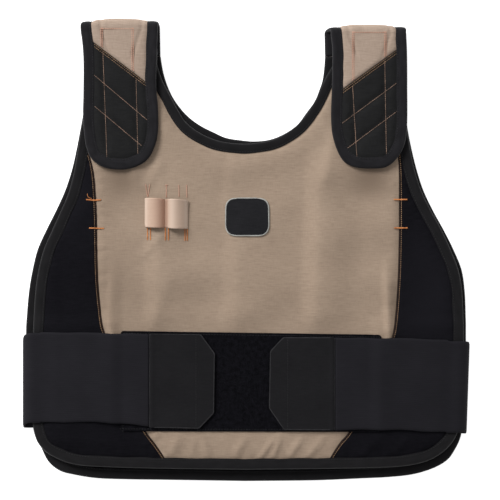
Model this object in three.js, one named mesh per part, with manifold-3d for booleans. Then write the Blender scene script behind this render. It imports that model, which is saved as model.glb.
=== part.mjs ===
// A cooling vest laid flat with its front up: a padded back panel on the table, a padded front panel over it,
// shoulder straps that fold over from the back and end in flaps on the front, and a wide elastic belt on each side
// that wraps round to a loop field on the front.
// Millimetres. +X is to the right seen from above, +Y runs from the hem to the shoulders, +Z is up from the table.
// The origin is on the table, under the middle of the vest.
import * as THREE from "three";
import { mergeVertices } from "three/addons/utils/BufferGeometryUtils.js";
import Module from "manifold-3d";

const wasm = await Module();
wasm.setup();

// Overall sizes
const vestLength = 510; // back hem to the higher strap's fold
const panelWidth = 485; // the back panel at the waist
const frontNarrower = 10; // how much narrower the front panel is than the back one at the waist
const frontHemRaise = 15; // the front hem above the back hem
const torsoGap = 7; // how far the front arches up over the torso space

// Cloth, padding and tape
const seamGap = 0.3; // clearance between two pieces that touch
const bindingWidth = 12;
const bindingCloth = 1;
const rimThick = 2; // a padded piece where it is pressed flat inside its binding
const rimPlay = 0.5; // clearance over and under that rim
const backPad = 6;
const frontPad = 5.7;
const strapPad = 5.5;
const padSlope = 18; // how far in from its binding a pad reaches its full height
const loopFieldThick = 1.5;
const closestLines = 1; // grid lines nearer than this are one

// Shoulder straps
const strapWidth = 83;
const strapSpread = 272; // centre of one strap to centre of the other
const flapRound = 41; // length of a flap's rounded end
const tongueInset = 3; // the front's shoulder tongue inside the strap's edges
const tongueCorner = 16;

// Neck
const neckDepth = 131.5; // from the higher strap's fold down to the back's neckline
const frontNeckLower = 3.5; // the front's neckline below the back's

// Belts
const beltWidth = 101.6;
const beltThick = 2;
const beltTail = 88; // the end sewn under the back panel, from the side inwards
const beltBend = 3; // radius at the middle of the elastic where it turns round the side
const tabLength = 72;
const tabThick = 2.5;
const tabOverhang = 1.5; // a tab beyond the elastic at the top and at the bottom
const tabClipLong = 20;
const tabClipShort = 15;
const fieldLength = 285;
const fieldWidth = 113;
const fieldCorner = 3;

// Pen holder and patch
const penBandLength = 46;
const penBandWidth = 33;
const penBandThick = 1.2;
const penLoopHigh = 6.8;
const penTackFlat = 3.2;
const patchWidth = 47;
const patchHeight = 41;
const patchThick = 1.2;
const patchCorner = 5;

// Levels over the table, from the bottom of the stack to the top
const bindingThick = rimThick + 2 * (rimPlay + bindingCloth);
const backMiddle = backPad / 2;
const frontMiddle = backPad + seamGap + bindingThick / 2;
const frontPadUnder = bindingThick / 2;
const strapLowMiddle = strapPad / 2;
const frontTopFlat = frontMiddle - frontPadUnder + frontPad;
const flapMiddle = frontTopFlat + seamGap + strapPad / 2;
const foldRadius = (flapMiddle - strapLowMiddle) / 2;
const beltLift = beltThick + seamGap;

// Half widths
const waistHalf = panelWidth / 2;
const strapMiddle = strapSpread / 2;
const shoulderHalf = strapMiddle + strapWidth / 2;
const neckHalf = strapMiddle - strapWidth / 2;
const hemY = -vestLength / 2;
const upFromHem = (share) => hemY + share * vestLength;
const shoulderSeamY = upFromHem(0.922);
const tongueTopY = upFromHem(0.963);
const flapTipY = upFromHem(0.675);

// The side of the back panel from the middle of the hem up to the shoulder.
// up: share of the vest's length above the back hem. out: below the armhole, share of the half waist.
const backSideRows = [
  { up: 0, out: 0 },
  { up: 0.0056, out: 0.551 },
  { up: 0.014, out: 0.77 },
  { up: 0.031, out: 0.874 },
  { up: 0.057, out: 0.93 },
  { up: 0.1, out: 0.972 },
  { up: 0.16, out: 0.996 },
  { up: 0.34, out: 1 },
  { up: 0.415, out: 0.994 },
];
// The side of the front panel. up: share of the height from its hem to the armhole. out: share of its half waist.
const frontSideRows = [
  { up: 0, out: 0 },
  { up: 0.007, out: 0.446 },
  { up: 0.0163, out: 0.664 },
  { up: 0.0373, out: 0.836 },
  { up: 0.0862, out: 0.93 },
  { up: 0.2004, out: 0.986 },
  { up: 0.3729, out: 0.998 },
  { up: 0.7924, out: 1 },
  { up: 0.9672, out: 0.995 },
];
// The armhole above them. up: share of the vest's length above the back hem.
// out: 0 at the shoulder's half width, 1 at the half waist.
const armholeRows = [
  { up: 0.4585, out: 0.93 },
  { up: 0.52, out: 0.755 },
  { up: 0.588, out: 0.48 },
  { up: 0.66, out: 0.24 },
  { up: 0.76, out: 0.07 },
  { up: 0.84, out: 0 },
];
// The neckline from its lowest point up. up: share of its depth. out: share of its half width at the shoulder.
const neckRows = [
  { up: 0, out: 0 },
  { up: 0.04, out: 0.31 },
  { up: 0.13, out: 0.49 },
  { up: 0.27, out: 0.655 },
  { up: 0.45, out: 0.8 },
  { up: 0.66, out: 0.9 },
  { up: 1, out: 1 },
];
// The seam between the front's tan centre and its dark sides.
// up: share of the vest's length above the back hem. out: share of the front's half waist.
const seamRows = [
  { up: -0.02, out: 0.3 },
  { up: 0.05, out: 0.378 },
  { up: 0.11, out: 0.47 },
  { up: 0.21, out: 0.6 },
  { up: 0.322, out: 0.662 },
  { up: 0.4, out: 0.69 },
  { up: 0.5, out: 0.697 },
  { up: 0.62, out: 0.705 },
  { up: 0.68, out: 0.714 },
  { up: 0.74, out: 0.75 },
  { up: 0.8, out: 0.82 },
];
// Soft upright folds in the front's cloth. at: share of the front's half waist. wide: half width, as the same share.
// high: share of the front's padding. from and to: shares of the vest's length where a fold fades in and out.
const foldRows = [
  { at: -0.6, wide: 0.1, high: 0.16, from: 0.36, to: 0.62 },
  { at: -0.415, wide: 0.09, high: 0.34, from: 0.36, to: 0.66 },
  { at: -0.08, wide: 0.13, high: 0.26, from: 0.36, to: 0.68 },
  { at: 0.27, wide: 0.14, high: 0.4, from: 0.35, to: 0.7 },
  { at: 0.62, wide: 0.1, high: 0.3, from: 0.35, to: 0.56 },
];
// One row for each strap. side: which side of the middle. fold: how high its fold lies, as a share of the vest's
// length above the back hem. seamOut and seamIn: where its slanting seam meets the outer and the inner edge.
const strapRows = [
  { name: "left", side: -1, fold: 1, seamOut: 0.964, seamIn: 0.844 },
  { name: "right", side: 1, fold: 0.985, seamOut: 0.95, seamIn: 0.832 },
];
// One row for each belt. tabSeam: where elastic and tab meet, as a share of the half waist. up: the elastic's middle,
// as a share of the vest's length. sag: how much lower it lies at the side, as the same share.
const beltRows = [
  { name: "left", side: -1, tabSeam: 0.435, up: 0.224, sag: 0.002 },
  { name: "right", side: 1, tabSeam: 0.402, up: 0.216, sag: 0.008 },
];
const fieldPlace = { out: 0.0225, up: 0.217 };
const penPlace = { out: -0.366, up: 0.582 };
const patchPlace = { out: 0.006, up: 0.573 };

// Colours
const finishes = {
  canvas: { color: 0xb49f8a, roughness: 0.95 },
  sideCloth: { color: 0x1c1b20, roughness: 0.9 },
  tape: { color: 0x1a181b, roughness: 0.85 },
  quilt: { color: 0x26241f, roughness: 0.9 },
  elastic: { color: 0x2b2a30, roughness: 0.8 },
  loopPile: { color: 0x151418, roughness: 1 },
  penElastic: { color: 0xc4a48f, roughness: 0.85 },
  patchCloth: { color: 0x232227, roughness: 0.7 },
};

// Small sums
const smooth = (t) => THREE.MathUtils.smoothstep(t, 0, 1);
const between = (a, b, t) => THREE.MathUtils.lerp(a, b, t);
const distinct = (values) =>
  [...values].sort((a, b) => a - b).filter((v, i, all) => i === 0 || v - all[i - 1] > closestLines);
const evenly = (low, high, count) => Array.from({ length: count + 1 }, (_, i) => between(low, high, i / count));

// Solids that can be joined and cut
function solidOf(geometry) {
  const bare = geometry.clone();
  bare.deleteAttribute("normal");
  bare.deleteAttribute("uv");
  const merged = mergeVertices(bare, 1e-4);
  const triVerts = new Uint32Array(merged.index.array);
  return new wasm.Manifold(new wasm.Mesh({ numProp: 3, vertProperties: merged.attributes.position.array, triVerts }));
}

function geometryOf(solid) {
  const mesh = solid.getMesh();
  const geometry = new THREE.BufferGeometry();
  geometry.setAttribute("position", new THREE.BufferAttribute(new Float32Array(mesh.vertProperties), 3));
  geometry.setIndex(new THREE.BufferAttribute(new Uint32Array(mesh.triVerts), 1));
  geometry.computeVertexNormals();
  return geometry;
}

function closedGeometry(points, triangles) {
  const volume = triangles.reduce(
    (sum, [a, b, c]) => sum + points[a].dot(new THREE.Vector3().crossVectors(points[b], points[c])),
    0,
  );
  const facingOut = volume > 0 ? triangles : triangles.map(([a, b, c]) => [a, c, b]);
  const geometry = new THREE.BufferGeometry().setFromPoints(points);
  geometry.setIndex(facingOut.flat());
  geometry.computeVertexNormals();
  return geometry;
}

// A tall block with the given outline, for cutting a slab of cloth to shape.
function cutter(outline) {
  const tall = 100;
  const geometry = new THREE.ExtrudeGeometry(new THREE.Shape(outline), { depth: tall, bevelEnabled: false, steps: 1 });
  return solidOf(geometry.translate(0, 0, -tall / 2));
}

// A slab of cloth over a grid of lines in X and Y, between two surfaces.
function slab(xs, ys, under, over) {
  const points = [];
  for (const surface of [under, over])
    for (const y of ys) for (const x of xs) points.push(new THREE.Vector3(x, y, surface(x, y)));
  const at = (level, i, j) => level * xs.length * ys.length + j * xs.length + i;
  const triangles = [];
  const face = (a, b, c, d) => triangles.push([a, b, c], [a, c, d]);
  for (let j = 0; j + 1 < ys.length; j++)
    for (let i = 0; i + 1 < xs.length; i++) {
      face(at(1, i, j), at(1, i + 1, j), at(1, i + 1, j + 1), at(1, i, j + 1));
      triangles.push([at(0, i, j), at(0, i + 1, j + 1), at(0, i + 1, j)]);
      triangles.push([at(0, i, j), at(0, i, j + 1), at(0, i + 1, j + 1)]);
    }
  const rightmost = xs.length - 1;
  const topmost = ys.length - 1;
  for (let i = 0; i < rightmost; i++) {
    face(at(0, i, 0), at(0, i + 1, 0), at(1, i + 1, 0), at(1, i, 0));
    face(at(0, i + 1, topmost), at(0, i, topmost), at(1, i, topmost), at(1, i + 1, topmost));
  }
  for (let j = 0; j < topmost; j++) {
    face(at(0, rightmost, j), at(0, rightmost, j + 1), at(1, rightmost, j + 1), at(1, rightmost, j));
    face(at(0, 0, j + 1), at(0, 0, j), at(1, 0, j), at(1, 0, j + 1));
  }
  return solidOf(closedGeometry(points, triangles));
}

// The height of a slab's surface between its grid lines, on the same facets that the slab has.
function facetHeight(xs, ys, surface) {
  const cell = (lines, v) => {
    const i = lines.findIndex((line) => line > v) - 1;
    return i < 0 ? (v < lines[0] ? 0 : lines.length - 2) : i;
  };
  return (x, y) => {
    const i = cell(xs, x);
    const j = cell(ys, y);
    const u = (x - xs[i]) / (xs[i + 1] - xs[i]);
    const v = (y - ys[j]) / (ys[j + 1] - ys[j]);
    const low = surface(xs[i], ys[j]);
    const high = surface(xs[i + 1], ys[j + 1]);
    const corner = u > v ? surface(xs[i + 1], ys[j]) : surface(xs[i], ys[j + 1]);
    return u > v ? low + u * (corner - low) + v * (high - corner) : low + v * (corner - low) + u * (high - corner);
  };
}

// Rings of points joined one after another. The profile only closes the two ends.
function sweep(rings, profile) {
  const count = profile.length;
  const triangles = [];
  for (let r = 0; r + 1 < rings.length; r++)
    for (let i = 0; i < count; i++) {
      const next = (i + 1) % count;
      const a = r * count + i;
      const b = r * count + next;
      triangles.push([a, b, b + count], [a, b + count, a + count]);
    }
  const cap = THREE.ShapeUtils.triangulateShape(profile, []);
  const turned = THREE.ShapeUtils.isClockWise(profile);
  const last = (rings.length - 1) * count;
  for (const [a, b, c] of cap) {
    triangles.push(turned ? [a, b, c] : [a, c, b]);
    triangles.push(turned ? [last + a, last + c, last + b] : [last + a, last + b, last + c]);
  }
  return closedGeometry(rings.flat(), triangles);
}

// Chains of points on the table's plane
function smoothChain(points, stepsPerRow) {
  const route = points.map((p) => new THREE.Vector3(p.x, p.y, 0));
  const curve = new THREE.CatmullRomCurve3(route, false, "centripetal");
  const count = (points.length - 1) * stepsPerRow;
  return evenly(0, 1, count).map((t) => {
    const p = curve.getPoint(t);
    return new THREE.Vector2(p.x, p.y);
  });
}

// From a half chain that starts on the middle line, the whole chain from left to right.
function bothSides(half) {
  const left = half
    .slice(1)
    .reverse()
    .map((p) => new THREE.Vector2(-p.x, p.y));
  return [...left, ...half];
}

// The direction to the left of travel at each point of a chain, long enough that a chain moved by it stays parallel.
function leftOf(chain) {
  const sides = chain.slice(1).map((p, i) => {
    const along = new THREE.Vector2().subVectors(p, chain[i]).normalize();
    return new THREE.Vector2(-along.y, along.x);
  });
  return chain.map((_, i) => {
    const before = sides[Math.max(i - 1, 0)];
    const after = sides[Math.min(i, sides.length - 1)];
    return before
      .clone()
      .add(after)
      .divideScalar(1 + before.dot(after));
  });
}

function moved(chain, distance) {
  const left = leftOf(chain);
  return chain.map((p, i) => p.clone().addScaledVector(left[i], distance));
}

// The same chain with a point added wherever it crosses one of the lines y = level, if none is near.
function crossing(chain, levels) {
  const near = bindingWidth / 3;
  return chain.flatMap((p, i) => {
    const next = chain[i + 1];
    if (!next) return [p];
    const margin = near / p.distanceTo(next);
    const shares = levels
      .map((level) => (level - p.y) / (next.y - p.y))
      .filter((share) => share > margin && share < 1 - margin)
      .sort((a, b) => a - b);
    return [p, ...shares.map((share) => p.clone().lerp(next, share))];
  });
}

function distanceTo(outline) {
  const line = new THREE.Line3();
  const near = new THREE.Vector3();
  const corners = outline.map((p) => new THREE.Vector3(p.x, p.y, 0));
  return (x, y) => {
    const here = new THREE.Vector3(x, y, 0);
    return Math.min(
      ...corners.map((a, i) => {
        line.set(a, corners[(i + 1) % corners.length]).closestPointToPoint(here, true, near);
        return near.distanceTo(here);
      }),
    );
  };
}

// Binding tape: a folded strip that grips the rim of a padded piece. Inward distance and height of its section.
const bindingHalf = bindingThick / 2;
const channelHalf = bindingHalf - bindingCloth;
const bindingProfile = [
  [bindingWidth, bindingHalf],
  [bindingCloth, bindingHalf],
  [0, 0],
  [bindingCloth, -bindingHalf],
  [bindingWidth, -bindingHalf],
  [bindingWidth, -channelHalf],
  [bindingCloth, -channelHalf],
  [bindingCloth, channelHalf],
  [bindingWidth, channelHalf],
].map(([inward, high]) => new THREE.Vector2(inward, high));

// place: takes a point of the flat pattern and a height over its cloth's middle, and gives the point in space.
function binding(chain, place) {
  const left = leftOf(chain);
  const rings = chain.map((p, i) =>
    bindingProfile.map((at) => place(p.x + left[i].x * at.x, p.y + left[i].y * at.x, at.y, p)),
  );
  return sweep(rings, bindingProfile);
}

// A padded piece: a thin rim that runs into the binding, and a pad inside it. cuts are regions that both are cut to.
function paddedPiece({ xs, ys, rimOutline, padOutline, middle, padUnder, padOver, cuts }) {
  const rim = slab(
    xs,
    ys,
    (x, y) => middle(x, y) - rimThick / 2,
    (x, y) => middle(x, y) + rimThick / 2,
  ).intersect(cutter(rimOutline));
  const pad = slab(xs, ys, padUnder, padOver).intersect(cutter(padOutline));
  const whole = rim.add(pad);
  return cuts.reduce((solid, cut) => solid.intersect(cutter(cut)), whole);
}

// How far a padded piece's rim starts inside the binding, and where its pad starts.
const rimInset = bindingCloth + seamGap;
const padInset = bindingWidth + 2 * seamGap;

const vest = new THREE.Group();
function addPiece(name, geometry, finish) {
  const mesh = new THREE.Mesh(geometry, new THREE.MeshStandardMaterial({ ...finishes[finish], metalness: 0 }));
  mesh.name = name;
  vest.add(mesh);
}

// Outlines of the two panels
const armhole = (waist, shoulder) =>
  armholeRows.map(({ up, out }) => new THREE.Vector2(between(shoulder, waist, out), upFromHem(up)));

const backHalf = [
  ...backSideRows.map(({ up, out }) => new THREE.Vector2(out * waistHalf, upFromHem(up))),
  ...armhole(waistHalf, shoulderHalf),
  new THREE.Vector2(shoulderHalf, shoulderSeamY),
];
const backSmooth = smoothChain(bothSides(backHalf), 2);

const backNeckY = upFromHem(1) - neckDepth;
const neckHalfChain = (bottom, top, half) =>
  neckRows.map(({ up, out }) => new THREE.Vector2(out * half, between(bottom, top, up)));
const backNeckEdge = smoothChain(bothSides(neckHalfChain(backNeckY, shoulderSeamY, neckHalf)), 2).reverse();

const frontWaist = waistHalf - frontNarrower / 2;
const frontHemY = hemY + frontHemRaise;
const frontShoulder = shoulderHalf - tongueInset;
const frontNeck = neckHalf + tongueInset;
const quarterTurn = [0.25, 0.5, 0.75].map((share) => (share * Math.PI) / 2);
const tongueStart = tongueTopY - tongueCorner;
const armholeY = upFromHem(armholeRows[0].up);
const frontHalf = [
  ...frontSideRows.map(({ up, out }) => new THREE.Vector2(out * frontWaist, between(frontHemY, armholeY, up))),
  ...armhole(frontWaist, frontShoulder),
];
const outerCorner = [0, ...quarterTurn, Math.PI / 2].map(
  (turn) =>
    new THREE.Vector2(
      frontShoulder - tongueCorner * (1 - Math.cos(turn)),
      tongueStart + tongueCorner * Math.sin(turn),
    ),
);
const innerCorner = outerCorner.map((p) => new THREE.Vector2(frontNeck + (frontShoulder - p.x), p.y)).reverse();
const mirrored = (chain) => chain.map((p) => new THREE.Vector2(-p.x, p.y)).reverse();
const tongueMiddle = new THREE.Vector2(strapMiddle, tongueTopY);
const frontSide = smoothChain(bothSides(frontHalf), 2);
const outerTurn = [...outerCorner, tongueMiddle.clone().add(new THREE.Vector2(seamGap / 2, 0))];
const frontSmooth = [...mirrored(outerTurn), ...frontSide, ...outerTurn];
const frontNeckY = backNeckY - frontNeckLower;
const frontNeckCurve = smoothChain(bothSides(neckHalfChain(frontNeckY, tongueStart, frontNeck)), 2);
const innerTurn = [tongueMiddle.clone().sub(new THREE.Vector2(seamGap / 2, 0)), ...innerCorner.slice(0, -1)];
const frontNeckEdge = [...innerTurn, ...frontNeckCurve.reverse(), ...mirrored(innerTurn)];

// The belts' band, where both panels lie a belt's thickness higher at the sides.
const bandMargin = 6;
const bandRamp = 16;
const beltMiddles = beltRows.flatMap(({ up, sag }) => [upFromHem(up), upFromHem(up - sag)]);
const bandTop = Math.max(...beltMiddles) + beltWidth / 2 + bandMargin;
const bandBottom = Math.min(...beltMiddles) - beltWidth / 2 - bandMargin;
const tailStart = waistHalf - beltTail;
function lift(x, y) {
  const inBand = smooth((y - bandBottom + bandRamp) / bandRamp) * smooth((bandTop + bandRamp - y) / bandRamp);
  const atSide = smooth((Math.abs(x) - tailStart + bandMargin + bandRamp) / bandRamp);
  return beltLift * inBand * atSide;
}

// Back panel
const bandLinesY = [bandBottom - bandRamp, bandBottom - bandRamp / 2, bandBottom, bandTop];
bandLinesY.push(bandTop + bandRamp / 2, bandTop + bandRamp);
const backEdge = crossing(backSmooth, bandLinesY);
const frontEdge = crossing(frontSmooth, bandLinesY);
const bandLineX = tailStart - bandMargin;
const bandLinesX = [bandLineX - bandRamp, bandLineX - bandRamp / 2, bandLineX];
const overhang = 5;
const backXs = distinct([
  ...evenly(-waistHalf - overhang, waistHalf + overhang, 4),
  ...bandLinesX,
  ...bandLinesX.map((x) => -x),
]);
const backYs = distinct([...evenly(hemY - overhang, shoulderSeamY, 4), ...bandLinesY]);
const backMiddleAt = (x, y) => backMiddle + lift(x, y);
const seamY = shoulderSeamY - seamGap / 2;
const clippedTo = (outline, top) => outline.map((p) => new THREE.Vector2(p.x, Math.min(p.y, top)));
const backOutline = (inset) => clippedTo([...moved(backEdge, inset), ...moved(backNeckEdge, inset)], seamY);
const backSolid = paddedPiece({
  xs: backXs,
  ys: backYs,
  rimOutline: backOutline(rimInset),
  padOutline: backOutline(padInset),
  middle: backMiddleAt,
  padUnder: (x, y) => backMiddleAt(x, y) - backPad / 2,
  padOver: (x, y) => backMiddleAt(x, y) + backPad / 2,
  cuts: [],
});
addPiece("back_panel", geometryOf(backSolid), "canvas");
const backHeight = facetHeight(backXs, backYs, backMiddleAt);
const onBack = (x, y, high) => new THREE.Vector3(x, y, backHeight(x, y) + high);
const belowSeam = (chain) => clippedTo(chain, seamY);
addPiece("back_edge_binding", binding(belowSeam(backEdge), onBack), "tape");
addPiece("back_neck_binding", binding(belowSeam(backNeckEdge), onBack), "tape");

// Front panel: its height over the table
const archTop = upFromHem(0.6);
const archStart = upFromHem(0.42);
const archFade = upFromHem(0.675);
function arch(x, y) {
  const across = THREE.MathUtils.clamp(1 - (x / frontWaist) ** 2, 0, 1);
  return torsoGap * across * smooth((archFade - y) / (archFade - archStart));
}
const frontMiddleAt = (x, y) => frontMiddle + arch(x, y) + lift(x, y);
const frontPadOutline = [...moved(frontEdge, padInset), ...moved(frontNeckEdge, padInset)];
const fromFrontPadEdge = distanceTo(frontPadOutline);
function foldsAt(x, y) {
  return foldRows.reduce((sum, fold) => {
    const across = (x / frontWaist - fold.at) / fold.wide;
    const up = (y - hemY) / vestLength;
    const fade = smooth((up - fold.from) / 0.06) * smooth((fold.to - up) / 0.08);
    return sum + fold.high * frontPad * fade * Math.exp(-across * across);
  }, 0);
}
const padTop = frontPad - frontPadUnder;
function frontOver(x, y) {
  const risen = smooth(fromFrontPadEdge(x, y) / padSlope);
  const rimTop = rimThick / 2;
  const crown = between(bindingHalf, padTop, risen);
  return frontMiddleAt(x, y) + Math.max(crown + foldsAt(x, y) * risen, rimTop);
}
const frontXs = evenly(-frontWaist - overhang, frontWaist + overhang, 32);
const frontYs = distinct([...evenly(frontHemY - overhang, tongueTopY + overhang, 9), ...bandLinesY]);
const frontRim = [...moved(frontEdge, rimInset), ...moved(frontNeckEdge, rimInset)];
const frontSolid = paddedPiece({
  xs: frontXs,
  ys: frontYs,
  rimOutline: frontRim,
  padOutline: frontPadOutline,
  middle: frontMiddleAt,
  padUnder: (x, y) => frontMiddleAt(x, y) - frontPadUnder,
  padOver: frontOver,
  cuts: [],
});
const seamHalf = seamRows.map(({ up, out }) => new THREE.Vector2(out * frontWaist, upFromHem(up)));
const sideSeam = smoothChain(seamHalf, 1);
const farOut = waistHalf * 1.2;
const besideSeam = (gap) => sideSeam.map((p) => new THREE.Vector2(p.x + gap, p.y));
const seamTop = sideSeam.at(-1).y;
const centreRight = besideSeam(-seamGap / 2);
const aboveAll = vestLength;
const centreCut = [
  ...centreRight,
  new THREE.Vector2(farOut, seamTop),
  new THREE.Vector2(farOut, aboveAll),
  ...mirrored([...centreRight, new THREE.Vector2(farOut, seamTop), new THREE.Vector2(farOut, aboveAll)]),
];
const sideRight = besideSeam(seamGap / 2);
const sideCut = [
  new THREE.Vector2(farOut, sideRight[0].y),
  new THREE.Vector2(farOut, seamTop - seamGap),
  new THREE.Vector2(sideRight.at(-1).x, seamTop - seamGap),
  ...sideRight.slice(0, -1).reverse(),
];
addPiece("front_panel_centre", geometryOf(frontSolid.intersect(cutter(centreCut))), "canvas");
addPiece("front_panel_side_right", geometryOf(frontSolid.intersect(cutter(sideCut))), "sideCloth");
addPiece("front_panel_side_left", geometryOf(frontSolid.intersect(cutter(mirrored(sideCut)))), "sideCloth");
const frontRimHeight = facetHeight(frontXs, frontYs, frontMiddleAt);
const onFront = (x, y, high) => new THREE.Vector3(x, y, frontRimHeight(x, y) + high);
addPiece("front_edge_binding", binding(frontEdge, onFront), "tape");
addPiece("front_neck_binding", binding(frontNeckEdge, onFront), "tape");

// Pieces that lie on the front follow its own facets.
const frontHeight = facetHeight(frontXs, frontYs, frontOver);
function laidOnFront(outline, lowest, thick) {
  const under = (x, y) => frontOver(x, y) + lowest;
  return slab(frontXs, frontYs, under, (x, y) => under(x, y) + thick).intersect(cutter(outline));
}

function roundedBox(middle, width, height, corner) {
  const shape = new THREE.Shape();
  const left = middle.x - width / 2;
  const right = middle.x + width / 2;
  const bottom = middle.y - height / 2;
  const top = middle.y + height / 2;
  shape.absarc(right - corner, bottom + corner, corner, -Math.PI / 2, 0);
  shape.absarc(right - corner, top - corner, corner, 0, Math.PI / 2);
  shape.absarc(left + corner, top - corner, corner, Math.PI / 2, Math.PI);
  shape.absarc(left + corner, bottom + corner, corner, Math.PI, Math.PI * 1.5);
  return shape.getPoints(3);
}
const placeOnFront = ({ out, up }) => new THREE.Vector2(out * waistHalf, upFromHem(up));

const fieldOutline = roundedBox(placeOnFront(fieldPlace), fieldLength, fieldWidth, fieldCorner);
addPiece("loop_field", geometryOf(laidOnFront(fieldOutline, seamGap, loopFieldThick)), "loopPile");
const patchOutline = roundedBox(placeOnFront(patchPlace), patchWidth, patchHeight, patchCorner);
addPiece("chest_patch", geometryOf(laidOnFront(patchOutline, seamGap, patchThick)), "patchCloth");

// Pen holder: one elastic band tacked down at its ends and in the middle, with two loops between the tacks.
const penMiddle = placeOnFront(penPlace);
const loopSpan = (penBandLength - 3 * penTackFlat) / 2;
const penSteps = evenly(0, penBandLength, 22);
function penRise(along) {
  const inLoop = (along - penTackFlat) % (loopSpan + penTackFlat);
  const share = along < penTackFlat || inLoop > loopSpan ? 0 : inLoop / loopSpan;
  return penLoopHigh * Math.sin(Math.PI * share) ** 0.7;
}
const penProfile = [
  [-penBandWidth / 2, 0],
  [penBandWidth / 2, 0],
  [penBandWidth / 2, penBandThick],
  [-penBandWidth / 2, penBandThick],
].map(([across, high]) => new THREE.Vector2(across, high));
const penRings = penSteps.map((along, i) => {
  const before = penRise(penSteps[Math.max(i - 1, 0)]);
  const after = penRise(penSteps[Math.min(i + 1, penSteps.length - 1)]);
  const slope = Math.atan2(after - before, (2 * penBandLength) / (penSteps.length - 1));
  const x = penMiddle.x - penBandLength / 2 + along;
  const seat = Math.max(...evenly(-0.5, 0.5, 4).map((t) => frontHeight(x, penMiddle.y + t * penBandWidth)));
  return penProfile.map(
    (at) =>
      new THREE.Vector3(
        x - Math.sin(slope) * at.y,
        penMiddle.y + at.x,
        seat + seamGap + penRise(along) + Math.cos(slope) * at.y,
      ),
  );
});
addPiece("pen_loops", sweep(penRings, penProfile), "penElastic");

// Shoulder straps: a flat pattern of distance across and distance along, bent over the fold.
const rimRun = bindingWidth - rimInset + seamGap;
const slopeRun = 6;
const ribbonHalf = strapWidth / 2 - rimInset;
const ribbonTop = [
  [-ribbonHalf, rimThick / 2],
  [-ribbonHalf + rimRun, rimThick / 2],
  [-ribbonHalf + rimRun + slopeRun, strapPad / 2],
  [ribbonHalf - rimRun - slopeRun, strapPad / 2],
  [ribbonHalf - rimRun, rimThick / 2],
  [ribbonHalf, rimThick / 2],
].map(([across, high]) => new THREE.Vector2(across, high));
const ribbonProfile = [...ribbonTop, ...ribbonTop.map((p) => new THREE.Vector2(p.x, -p.y)).reverse()];

for (const { name, side, fold, seamOut, seamIn } of strapRows) {
  const foldY = upFromHem(fold) - foldRadius - strapPad / 2;
  const lowRun = foldY - shoulderSeamY;
  const turn = Math.PI * foldRadius;
  const middleX = side * strapMiddle;
  // across: from the strap's middle line. along: from the shoulder seam. high: over the strap's outer face's side.
  const onStrap = (across, along, high) => {
    const x = middleX + across;
    if (along < lowRun) return new THREE.Vector3(x, shoulderSeamY + along, strapLowMiddle - high);
    if (along > lowRun + turn) return new THREE.Vector3(x, foldY - (along - lowRun - turn), flapMiddle + high);
    const angle = (along - lowRun) / foldRadius;
    const radius = foldRadius + high;
    return new THREE.Vector3(x, foldY + radius * Math.sin(angle), strapLowMiddle + foldRadius - radius * Math.cos(angle));
  };
  const alongAt = (y) => lowRun + turn + foldY - y;
  const tip = alongAt(flapTipY);

  // The slanting seam between the strap and its dark end, as a height for each distance across.
  const slantY = (across) => {
    const outer = upFromHem(seamOut);
    const inner = upFromHem(seamIn);
    return between(inner, outer, 0.5 + (side * across) / strapWidth);
  };
  const strapStops = [seamGap / 2, ...evenly(lowRun, lowRun + turn, 6)];
  const straightRings = strapStops.map((along) => ribbonProfile.map((at) => onStrap(at.x, along, at.y)));
  const slantRing = ribbonProfile.map((at) => onStrap(at.x, alongAt(slantY(at.x) + seamGap / 2), at.y));
  addPiece("shoulder_strap_" + name, sweep([...straightRings, slantRing], ribbonProfile), "canvas");

  const half = strapWidth / 2;
  const endArc = evenly(0, Math.PI, 12).map(
    (angle) => new THREE.Vector2(half * Math.cos(angle), tip - flapRound + flapRound * Math.sin(angle)),
  );
  const foldStops = [seamGap / 2, ...evenly(lowRun, lowRun + turn, 6)];
  const flapEdge = [
    ...foldStops.map((along) => new THREE.Vector2(half, along)),
    ...endArc,
    ...foldStops.map((along) => new THREE.Vector2(-half, along)).reverse(),
  ];
  addPiece("strap_binding_" + name, binding(flapEdge, onStrap), "tape");

  const flapOutline = (inset) => {
    const chain = moved([new THREE.Vector2(half, lowRun + turn), ...endArc, new THREE.Vector2(-half, lowRun + turn)], inset);
    return chain.map((p) => new THREE.Vector2(middleX + p.x, foldY - (p.y - lowRun - turn)));
  };
  const slantCut = [
    new THREE.Vector2(middleX - half, slantY(-half) - seamGap / 2),
    new THREE.Vector2(middleX - half, flapTipY - overhang),
    new THREE.Vector2(middleX + half, flapTipY - overhang),
    new THREE.Vector2(middleX + half, slantY(half) - seamGap / 2),
  ];
  const strapEnd = paddedPiece({
    xs: [middleX - half, middleX, middleX + half],
    ys: [flapTipY - overhang, foldY + overhang],
    rimOutline: flapOutline(rimInset),
    padOutline: flapOutline(padInset),
    middle: () => flapMiddle,
    padUnder: () => flapMiddle - strapPad / 2,
    padOver: () => flapMiddle + strapPad / 2,
    cuts: [slantCut],
  });
  addPiece("strap_end_" + name, geometryOf(strapEnd), "quilt");
}

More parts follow.
